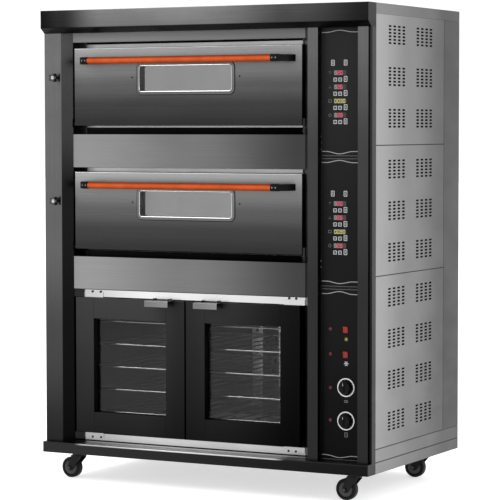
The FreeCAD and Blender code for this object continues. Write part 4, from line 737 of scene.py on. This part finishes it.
# Each wave's height at its ends and in its middle, in millimetres.
WAVES = ((1587, 1593.5), (1187, 1179), (1149.6, 1157), (748.5, 741.5), (706, 714.4), (157.5, 150.5))
RIBBON = 2.6 * MM
SEAM_LINE = 1.6 * MM
SEAM_LINE_OFFSET = 5 * MM
FOOT_LINE_RISE = 4.5 * MM
KEY_COLUMNS = (499.5 * MM, 517.8 * MM, 538.2 * MM)
TOP_LEFT_KEY = 490.8 * MM
TOP_KEY_RISE = 33.6 * MM
SMALL_KEY = 13 * MM
TALL_KEY = 19 * MM
TALL_KEY_LIFT = 2 * MM
KEY_RIM = 2.2 * MM
KEY_FACE_INSET = 2.5 * MM
KEY_THICKNESS = 0.6 * MM
KEY_CORNER = 1.8 * MM
KEY_INNER_CORNER = 1.2 * MM
KEY_BAR = (4.6 * MM, 1.8 * MM)
BAR_PITCH = 3 * MM
ARROW_HALF = 2 * MM
ARROW_TAIL = 1.5 * MM
ROW_PITCH = 47.4 * MM
DISPLAY_TOP = 1451.4 * MM
KEY_DROP = 23 * MM
DIGIT_START = 501.2 * MM
DIGIT_PITCH = 10.5 * MM
DIGIT = (9.2 * MM, 14 * MM, 2.7 * MM)
WINDOW_HEIGHT = 17 * MM
DIAL_RING = (32 * MM, 28 * MM)
TICK_REACH = (24 * MM, 26.5 * MM)
TICKS = 12
TICK_WIDTH = 0.9 * MM
TICK_START = math.radians(-45)
TICK_SWEEP = math.radians(292)
GRIP_POINTS = 96
GRIP_RADIUS = 19.6 * MM
GRIP_BORE = 18.6 * MM
GRIP_SETBACK = 5.5 * MM
GRIP_LENGTH = 13 * MM
GRIP_BEVEL = 0.4 * MM
FLUTES = 24
FLUTE_DEPTH = 0.7 * MM
POINTER = (1.4 * MM, 8 * MM)
POINTER_RISE = 12 * MM
ICON_SHIFT = 2 * MM
LAMP_ICON_DROP = 33 * MM
FAN_ICON_DROP = 31 * MM
KNOB_ICON_DROP = 47 * MM
ICON_COLUMN = 480 * MM
READINGS = (("20", "red"), ("26", "red"), ("0030", "yellow"), ("28", "red"))
LIT = {"0": "abcdef", "2": "abdeg", "3": "abcdg", "6": "acdefg", "8": "abcdefg"}


def oblong(x, z, width, height):
    """A plain rectangle by its centre, as a closed outline."""
    return [(x - width / 2, z - height / 2), (x + width / 2, z - height / 2),
            (x + width / 2, z + height / 2), (x - width / 2, z + height / 2)]


def wave(left, right, end_height, middle_height):
    """A line across a film that is level at its ends and swells in its middle."""
    line = []
    for step in range(WAVE_STEPS + 1):
        x = left + (right - left) * step / WAVE_STEPS
        away = min(abs(x - WAVE_CENTRE) / WAVE_HALF, 1)
        swell = (1 + math.cos(math.pi * away)) / 2
        line.append((x, end_height + (middle_height - end_height) * swell))
    return line


def seven_segments(digit, x, z, width, height, stroke):
    """The lit bars of one digit, by its centre."""
    side = (width - stroke) / 2
    rise = (height - stroke) / 2
    gap = stroke / 5
    bars = {
        "a": (0, rise, True), "g": (0, 0, True), "d": (0, -rise, True),
        "f": (-side, rise / 2, False), "b": (side, rise / 2, False),
        "e": (-side, -rise / 2, False), "c": (side, -rise / 2, False),
    }
    loops = []
    for bar in LIT[digit]:
        across, up, level = bars[bar]
        size = (width - 2 * gap, stroke) if level else (stroke, rise - 2 * gap)
        loops.append(oblong(x + across, z + up, *size))
    return loops


def inked(name, loops, ink, layers=1):
    """A print on the column's films, so many layers of ink in front of them."""
    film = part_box("control_panels")[0].y - FILM
    stamped(name, loops, film - layers * INK, INK, ink, "cabinet")


def make_films():
    """A printed film on each panel of the column, cut out round the switches, lamps and knobs."""
    low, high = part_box("control_panels")
    left, right = low.x + FILM_INSET, high.x - FILM_INSET
    front = low.y - FILM
    surface = Surface("control_film", (0.015, 0.015, 0.016), 0.34, Specular_IOR_Level=0.05)
    # Painted shade: the film darkens towards the bottom.
    tone = surface.fade(surface.along("Z", low.z, high.z), ((0.0, 0.0008), (0.4, 0.0055), (1.0, 0.014)))
    surface.paint(tone)
    grain = surface.noise(1500.0, 2.0)
    surface.polish(surface.vary(grain, 0.28, 0.42))
    surface.bump(grain, 0.15, 0.02 * MM)
    holes = []
    for deck in DECKS:
        spot = middle("rocker_" + deck)
        holes.append(rounded(spot.x, spot.z, *ROCKER_HOLE, ROCKER_HOLE_CORNER))
        spot = middle("knob_" + deck)
        holes.append(ring_of(spot.x, spot.z, KNOB_HOLE))
    lamps = middle("indicator_lamps")
    holes += [ring_of(lamps.x, height, LAMP_HOLE) for height in lamp_heights()]
    edges = (low.z, *COLUMN_SPLITS, high.z)
    for name, bottom, top in zip(("proofer", "lower", "upper"), edges, edges[1:]):
        sheet = rounded((left + right) / 2, (bottom + top) / 2, right - left, top - bottom - FILM_GAP,
                        FILM_CORNER)
        stamped("control_film_" + name, [sheet] + (holes if name == "proofer" else []),
                front, FILM, surface.material, "cabinet")


def lamp_heights():
    """The four lamps: one beside each rocker and each knob."""
    low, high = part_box("indicator_lamps")
    ring = (high.x - low.x) / 2
    return (low.z + ring, UPPER_KNOB_LAMP, middle("rocker_lower").z, high.z - ring)


def make_ribbons():
    """Silver waves at the ends of each film, and thin dark lines along the seams."""
    low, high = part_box("control_panels")
    left, right = low.x + WAVE_INSET, high.x - WAVE_INSET
    silver = printed("silver_ink", (0.2, 0.2, 0.21), 0.35)
    loops = [band(wave(left, right, end, swell), RIBBON) for end, swell in in_mm(WAVES)]
    inked("silver_waves", loops, silver)
    line = printed("seam_ink", (0.06, 0.06, 0.062), 0.35)
    centre = (left + right) / 2
    loops = []
    for split in COLUMN_SPLITS:
        for side in (-1, 1):
            loops.append(oblong(centre, split + side * SEAM_LINE_OFFSET, right - left, SEAM_LINE))
    loops.append(oblong(centre, low.z + FOOT_LINE_RISE, right - left, SEAM_LINE))
    inked("seam_lines", loops, line)


def key_places(lift):
    """Centre and height of each key of a deck's keypad."""
    top_row = DISPLAY_TOP + lift + TOP_KEY_RISE
    places = [(TOP_LEFT_KEY, top_row, TALL_KEY), (KEY_COLUMNS[2], top_row, TALL_KEY)]
    for row in range(len(READINGS)):
        height = DISPLAY_TOP + lift - KEY_DROP - row * ROW_PITCH
        places += [(x, height, SMALL_KEY) for x in KEY_COLUMNS[:2]]
        places.append((KEY_COLUMNS[2], height + TALL_KEY_LIFT, TALL_KEY))
    return places


def make_keypads():
    """Domed film keys with a light rim, a dark face and a small arrow or bar."""
    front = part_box("control_panels")[0].y - FILM
    rim = printed("key_rim_ink", (0.34, 0.35, 0.36))
    face = moulded("key_face", (0.012, 0.012, 0.014), 0.35, specular=0.1)
    mark = printed("key_mark_ink", (0.3, 0.29, 0.29))
    for deck, lift in zip(DECKS, (0, -DECK_PITCH)):
        rims, faces, marks = [], [], []
        for index, (x, z, tall) in enumerate(key_places(lift)):
            rims += framed(x, z, SMALL_KEY, tall, KEY_CORNER, KEY_INNER_CORNER, KEY_RIM)
            faces.append(rounded(x, z, SMALL_KEY - 2 * KEY_FACE_INSET, tall - 2 * KEY_FACE_INSET,
                                 KEY_INNER_CORNER))
            if tall == TALL_KEY:
                marks += [oblong(x, z + step * BAR_PITCH, *KEY_BAR) for step in (-1, 0, 1)]
            else:
                way = 1 if index % 3 == 2 else -1
                tail = z - way * ARROW_TAIL
                marks.append([(x - ARROW_HALF, tail), (x + ARROW_HALF, tail), (x, z + way * ARROW_HALF)])
        stamped("key_rims_" + deck, rims, front - 2 * INK, 2 * INK, rim, "cabinet")
        stamped("key_faces_" + deck, faces, front - KEY_THICKNESS, KEY_THICKNESS, face, "cabinet",
                bevel=KEY_THICKNESS / 3)
        stamped("key_marks_" + deck, marks, front - KEY_THICKNESS - INK, INK, mark, "cabinet")


def make_displays():
    """Smoked windows with lit digits: red for heat and steam, yellow for the timer."""
    smoke = printed("display_smoke", (0.012, 0.01, 0.01), 0.12)
    unlit = printed("digit_unlit", (0.22, 0.21, 0.21))
    lit = {
        "red": printed("digit_red", (0.45, 0.05, 0.085), glow=0.2),
        "yellow": printed("digit_yellow", (0.34, 0.3, 0.1), glow=0.15),
    }
    centre = DIGIT_START + 1.5 * DIGIT_PITCH
    for deck, lift in zip(DECKS, (0, -DECK_PITCH)):
        windows, dark = [], []
        bright = {"red": [], "yellow": []}
        for row, (reading, colour) in enumerate(READINGS):
            height = DISPLAY_TOP + lift - row * ROW_PITCH
            windows.append(rounded(centre, height, 4.5 * DIGIT_PITCH, WINDOW_HEIGHT, 1 * MM))
            text = reading.rjust(3)
            for place, character in enumerate(text):
                x = DIGIT_START + place * DIGIT_PITCH
                if character == " ":
                    dark += seven_segments("8", x, height, *DIGIT)
                else:
                    bright[colour] += seven_segments(character, x, height, *DIGIT)
        inked("display_windows_" + deck, windows, smoke)
        inked("display_unlit_" + deck, dark, unlit, layers=2)
        for colour, bars in bright.items():
            inked("display_%s_%s" % (colour, deck), bars, lit[colour], layers=2)


def spokes(x, z, inner, outer, count, width, first=0.0, sweep=2 * math.pi):
    """Short bars that point away from a centre."""
    loops = []
    for step in range(count):
        angle = first + sweep * step / count
        run = Vector((math.cos(angle), math.sin(angle)))
        side = Vector((-run.y, run.x)) * width / 2
        centre = Vector((x, z))
        corners = (centre + run * inner - side, centre + run * outer - side,
                   centre + run * outer + side, centre + run * inner + side)
        loops.append([tuple(corner) for corner in corners])
    return loops


def make_dials():
    """A light ring with ticks round each knob, a fluted grip and a pointer line on the knob."""
    ring = printed("dial_ring_ink", (0.55, 0.55, 0.56))
    tick = printed("dial_tick_ink", (0.2, 0.2, 0.2))
    grip = moulded("knob_grip", (0.004, 0.004, 0.0045), 0.3, specular=0.2)
    pointer = printed("knob_pointer_ink", (0.35, 0.35, 0.35))
    for deck in DECKS:
        low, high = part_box("knob_" + deck)
        spot = (low + high) / 2
        inked("dial_ring_" + deck, [ring_of(spot.x, spot.z, radius) for radius in DIAL_RING], ring)
        ticks = spokes(spot.x, spot.z, *TICK_REACH, TICKS, TICK_WIDTH, TICK_START, TICK_SWEEP)
        inked("dial_ticks_" + deck, ticks, tick)
        flutes = []
        for step in range(GRIP_POINTS):
            angle = 2 * math.pi * step / GRIP_POINTS
            radius = GRIP_RADIUS + FLUTE_DEPTH * math.cos(FLUTES * angle)
            flutes.append((spot.x + radius * math.cos(angle), spot.z + radius * math.sin(angle)))
        stamped("knob_grip_" + deck, [flutes, ring_of(spot.x, spot.z, GRIP_BORE)], low.y + GRIP_SETBACK,
                GRIP_LENGTH, grip, "knob_" + deck, bevel=GRIP_BEVEL)
        line = [oblong(spot.x, spot.z + POINTER_RISE, *POINTER)]
        stamped("knob_pointer_" + deck, line, low.y - 2 * INK, 2 * INK, pointer, "knob_" + deck)


def make_switch_icons():
    """A lamp sign and a fan sign under the switches."""
    yellow = printed("icon_yellow_ink", (0.4, 0.34, 0.05))
    light = printed("icon_light_ink", (0.42, 0.44, 0.46))
    x = middle("rocker_upper").x + ICON_SHIFT
    z = middle("rocker_upper").z - LAMP_ICON_DROP
    lamp = [ring_of(x, z, 2.6 * MM)] + spokes(x, z, 3.6 * MM, 6.6 * MM, 8, 1.3 * MM)
    inked("icon_lamp", lamp, yellow)
    z = middle("rocker_lower").z - FAN_ICON_DROP
    fan = spokes(x, z, 2.2 * MM, 8.4 * MM, 6, 2.2 * MM) + [ring_of(x, z, 1.4 * MM)]
    inked("icon_fan", fan, light)


def make_dim_icons():
    """Faint signs under the knobs and beside the displays."""
    dim = printed("icon_dim_ink", (0.09, 0.09, 0.09))
    x = middle("rocker_upper").x + ICON_SHIFT
    z = middle("knob_upper").z - KNOB_ICON_DROP
    signs = framed(x, z, 15 * MM, 9 * MM, 4.4 * MM, 2.7 * MM, 1.7 * MM) + [oblong(x, z, 6 * MM, 1.2 * MM)]
    z = middle("knob_lower").z - KNOB_ICON_DROP
    signs += framed(x, z, 12 * MM, 16 * MM, 2 * MM, 1 * MM, 1.5 * MM)
    signs += [oblong(x, z + step * BAR_PITCH, 5 * MM, 1 * MM) for step in (-1, 0, 1)]
    inked("icon_heat_and_steam", signs, dim)
    signs = []
    for lift in (0, -DECK_PITCH):
        rows = [DISPLAY_TOP + lift - row * ROW_PITCH for row in range(len(READINGS))]
        for height, way in ((rows[0], 1), (rows[1], -1)):
            signs.append(oblong(ICON_COLUMN, height + way * 3 * MM, 10 * MM, 1.2 * MM))
            signs += spokes(ICON_COLUMN, height, 1 * MM, 4 * MM, 1, 1.2 * MM, -way * math.pi / 2)
        signs += framed(ICON_COLUMN, rows[2], 12 * MM, 10 * MM, 2 * MM, 1 * MM, 1.3 * MM)
        signs += [ring_of(ICON_COLUMN, rows[3], radius) for radius in (5.5 * MM, 4.2 * MM)]
    inked("icons_beside_displays", signs, dim)


def make_lamp_domes():
    """A domed red lens in front of each lamp, in a thin dark bezel."""
    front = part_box("indicator_lamps")[0].y
    places = [(middle("indicator_lamps").x, front, height) for height in lamp_heights()]
    dome = in_mm(((0, 2.4), (1.6, 2.2), (3.2, 1.5), (4.3, 0.4), (4.3, -0.3), (0, -0.3)))
    turned("lamp_domes", dome, places, FORWARD, lens_material("red_dome", (0.16, 0.007, 0.009)),
           "cabinet")
    bezel = in_mm(((4.6, -2), (6.2, -2), (6.2, -0.6), (5.6, 0.2), (4.6, 0.2), (4.6, -2)))
    turned("lamp_bezels", bezel, places, FORWARD, moulded("lamp_bezel", (0.03, 0.003, 0.004), 0.3),
           "cabinet")


# ---------------- small fittings

# Places of the pivot plates' screws across and up, in millimetres.
HEADER_SCREWS = ((-469.8, 681.4), (-435.4, 681.4), (319.9, 684), (346.7, 684))
SILL_SCREWS = ((-471, 158.7), (-436, 158.7), (318, 158.7), (346, 158.7))
RAIL_PLATE = 2 * MM
PULL_SCREW_INSET = 16 * MM
PULL_SCREW_RISE = 4 * MM
WINDOW_SCREW_REACH = 214.8 * MM
WINDOW_SCREW_RISE = 4.6 * MM
HANDLE_SCREW_OFFSETS = (7 * MM, 20 * MM)
HANDLE_SCREW_SINK = 0.6 * MM
WINDOW_BORDER = 12 * MM
BEAD_OVERLAP = 1.5 * MM
BEAD_CORNER = 10 * MM
BEAD_SET = 0.4 * MM
BEAD_RADIUS = 1.7 * MM
EDGE_SHADE_OVERLAP = 0.5 * MM
EDGE_SHADE_CORNER = 20.5 * MM
EDGE_SHADE_LIFT = 0.2 * MM
EDGE_SHADE_RADIUS = 1.8 * MM
HUB_RECESS = 3 * MM
SWIVEL_OFFSET = 28 * MM
BOLT_REACH = (29 * MM, 22 * MM)
PLATE_THICKNESS = 3 * MM
BACK_SCREW_INSET = 14 * MM


def screw_profile(radius):
    """A pan head with a round recess for the driver."""
    return [(0, radius * 0.25), (radius * 0.38, radius * 0.25), (radius * 0.42, radius * 0.58),
            (radius * 0.7, radius * 0.52), (radius, radius * 0.2), (radius, -radius * 0.15),
            (0, -radius * 0.15)]


def make_front_screws():
    """Screws of the pivot plates, the proofer pulls, the windows and the handles."""
    dark = plain_steel("screw_dark", 0.02, 0.03)
    steel = plain_steel("screw_steel", 0.25, 0.35)
    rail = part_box("proofer_rails")[0].y
    places = [(x, rail - RAIL_PLATE, z) for x, z in in_mm(HEADER_SCREWS + SILL_SCREWS)]
    turned("pivot_plate_screws", screw_profile(4 * MM), places, FORWARD, dark, "cabinet")
    for side in SIDES:
        low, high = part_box("proofer_pull_" + side)
        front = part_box("proofer_door_" + side)[0].y
        places = [(x, front, high.z + PULL_SCREW_RISE)
                  for x in (low.x + PULL_SCREW_INSET, high.x - PULL_SCREW_INSET)]
        turned("pull_screws_" + side, screw_profile(3.5 * MM), places, FORWARD, dark,
               "proofer_door_" + side)
    for deck in DECKS:
        window = middle("window_frame_" + deck)
        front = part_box("door_shell_" + deck)[0].y
        places = [(window.x + side * WINDOW_SCREW_REACH, front, window.z + WINDOW_SCREW_RISE)
                  for side in (-1, 1)]
        turned("window_screws_" + deck, screw_profile(3.2 * MM), places, FORWARD, dark,
               "oven_door_" + deck)
        low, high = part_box("handle_brackets_" + deck)
        tube_low, tube_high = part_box("handle_tube_" + deck)
        height = (low.z + high.z) / 2
        places = []
        for end, way in ((tube_low.x, -1), (tube_high.x, 1)):
            places += [(end + way * offset, low.y + HANDLE_SCREW_SINK, height)
                       for offset in HANDLE_SCREW_OFFSETS]
        turned("handle_screws_" + deck, screw_profile(2.2 * MM), places, FORWARD, steel,
               "oven_door_" + deck)


def tube_along(name, loop, depth, radius, material, body):
    """A round bead that follows a closed outline of X and Z."""
    line = bpy.data.curves.new(name, "CURVE")
    line.dimensions = "3D"
    line.bevel_depth = radius
    line.bevel_resolution = 3
    draw_line(line, [(x, depth, z) for x, z in loop])
    finish_piece(name, baked(name, line), material, body)


def make_window_beads():
    """The bright rolled bead inside each window frame, and a dark bead round its outside as the frame's
    painted shadow on the door.
    """
    bright = brushed("bead_steel", (0.5, 0.42), "X", "Z", cad_low.z, cad_high.z, 0.18, 0.05)
    edge_shade = moulded("window_edge_shade", (0.003, 0.003, 0.003), 0.6, specular=0.1)
    for deck in DECKS:
        low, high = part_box("window_frame_" + deck)
        centre = (low + high) / 2
        wide, tall = high.x - low.x, high.z - low.z
        less = 2 * (WINDOW_BORDER - BEAD_OVERLAP)
        inner = rounded(centre.x, centre.z, wide - less, tall - less, BEAD_CORNER)
        tube_along("window_bead_" + deck, inner, low.y + BEAD_SET, BEAD_RADIUS, bright,
                   "oven_door_" + deck)
        # Painted shadow: a dark bead round the frame's outside.
        more = 2 * EDGE_SHADE_OVERLAP
        outer = rounded(centre.x, centre.z, wide + more, tall + more, EDGE_SHADE_CORNER)
        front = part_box("door_shell_" + deck)[0].y
        tube_along("window_edge_shade_" + deck, outer, front - EDGE_SHADE_LIFT, EDGE_SHADE_RADIUS, edge_shade,
                   "oven_door_" + deck)


def make_damper_caps():
    """A polished domed cap in the middle of each star knob."""
    low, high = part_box("damper_upper")
    chrome = brushed("damper_cap", (0.2, 0.5), "X", "X", low.x, high.x, 0.15, 0.03)
    dome = in_mm(((0, 3), (2.5, 2.7), (5, 1.6), (6.6, 0.2), (6.6, -0.5), (0, -0.5)))
    for deck in DECKS:
        low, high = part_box("damper_" + deck)
        centre = ((low.x + high.x) / 2, low.y, (low.z + high.z) / 2)
        turned("damper_cap_" + deck, dome, [centre], FORWARD, chrome, "damper_" + deck)


def make_caster_details():
    """Hub caps on the wheels, hexagon heads on the axles and plate bolts under the floor pan."""
    hub = moulded("wheel_hub", (0.03, 0.03, 0.032), 0.4, specular=0.3)
    zinc = plain_steel("zinc_bolt", 0.05, 0.06, 0.35)
    cap = in_mm(((8, 1.2), (10, 1.4), (13, 0.8), (22, 1.6), (24.5, 1.2), (25.5, -0.4), (8, -0.4), (8, 1.2)))
    head = in_mm(((0, 2.6), (4.6, 2.6), (5.4, 2), (5.4, -0.4), (0, -0.4)))
    bolts = []
    plate_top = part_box("caster_plates")[1].z
    for corner in CORNERS:
        low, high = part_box("wheel_" + corner)
        centre = (low + high) / 2
        for name, face, outward in (("front", low.y + HUB_RECESS, FORWARD),
                                    ("rear", high.y - HUB_RECESS, BACKWARD)):
            turned("hub_cap_%s_%s" % (name, corner), cap, [(centre.x, face, centre.z)], outward, hub,
                   "wheel_" + corner)
        low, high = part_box("fork_" + corner)
        for name, face, outward in (("front", low.y, FORWARD), ("rear", high.y, BACKWARD)):
            turned("axle_%s_%s" % (name, corner), head, [(centre.x, face, centre.z)], outward, zinc,
                   "fork_" + corner, sides=HEXAGON)
        for across in (-1, 1):
            for along in (-1, 1):
                bolts.append((centre.x + SWIVEL_OFFSET + across * BOLT_REACH[0],
                              centre.y + along * BOLT_REACH[1], plate_top - PLATE_THICKNESS))
    turned("caster_plate_bolts", head, bolts, DOWNWARD, zinc, "cabinet", sides=HEXAGON)


def make_back_screws():
    """Screws down both edges of the back panel, and along its top and bottom."""
    low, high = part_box("back_panel")
    steel = plain_steel("back_screw", 0.3, 0.35)
    heights = [low.z + (high.z - low.z) * share for share in (0.02, 0.26, 0.5, 0.74, 0.98)]
    reach = high.x - BACK_SCREW_INSET
    places = [(side * reach, high.y, height) for height in heights for side in (-1, 1)]
    for height in (heights[0], heights[-1]):
        places += [(side * reach / 3, high.y, height) for side in (-1, 1)]
    turned("back_screws", screw_profile(4 * MM), places, BACKWARD, steel, "cabinet")


# ---------------- studio

CAMERA_PLACE = (3.84425, -7.27840, 1.27315)
CAMERA_TURN = (86.888, 0.0516, 27.883)
CAMERA_LENS = 164.334
SENSOR_WIDTH = 36.0
FAR_CLIP = 200.0
FLOOR_REACH = 40.0
FLOOR_GLOW = 0.55
BACKDROP_STRENGTH = 1.08
LIGHT_AIM = (0, 0, 0.9)


def make_camera():
    data = bpy.data.cameras.new("camera")
    data.lens = CAMERA_LENS
    data.sensor_width = SENSOR_WIDTH
    data.clip_end = FAR_CLIP
    camera = stand("camera", data)
    camera.location = CAMERA_PLACE
    camera.rotation_euler = [math.radians(angle) for angle in CAMERA_TURN]
    bpy.context.scene.camera = camera


def make_floor():
    shape = bmesh.new()
    bmesh.ops.create_grid(shape, x_segments=4, y_segments=4, size=FLOOR_REACH)
    mesh = settled("floor", shape)
    floor = stand("floor", mesh)
    floor.location.z = cad_low.z
    surface = Surface("studio_floor", (0.8, 0.8, 0.8), 0.8)
    surface.glow((1, 1, 1), FLOOR_GLOW)
    surface.worn((0.8, 0.8, 0.8, 1), 0.01, 2.0)
    mesh.materials.append(surface.material)


def make_world():
    world = bpy.data.worlds.new("studio")
    world.use_nodes = True
    backdrop = world.node_tree.nodes["Background"]
    backdrop.inputs["Color"].default_value = (1, 1, 1, 1)
    backdrop.inputs["Strength"].default_value = BACKDROP_STRENGTH
    bpy.context.scene.world = world
    bpy.context.scene.view_settings.view_transform = "Standard"


def softbox(name, place, size, power):
    data = bpy.data.lights.new(name, "AREA")
    data.shape = "RECTANGLE"
    data.size, data.size_y = size
    data.energy = power
    lamp = stand(name, data)
    lamp.location = place
    lamp.rotation_euler = (Vector(LIGHT_AIM) - Vector(place)).to_track_quat("-Z", "Y").to_euler()


def make_lights():
    """Soft light from the front left, and from the right for the side panels. Power is in watts."""
    softbox("key", (-3.5, -4.5, 4.5), (2.5, 2.5), 150)
    softbox("side", (6.0, -1.0, 3.5), (2.0, 3.0), 120)


make_camera()
make_floor()
make_world()
make_lights()
for dresser in (dress_canopy, dress_posts, dress_plinth, dress_panels, dress_doors, dress_silver,
                dress_inside, dress_bright, dress_handles, dress_proofer_doors, dress_controls,
                dress_casters):
    dresser()
for maker in (make_films, make_ribbons, make_keypads, make_displays, make_dials, make_switch_icons,
              make_dim_icons, make_lamp_domes, make_front_screws, make_window_beads, make_damper_caps,
              make_caster_details, make_back_screws):
    maker()
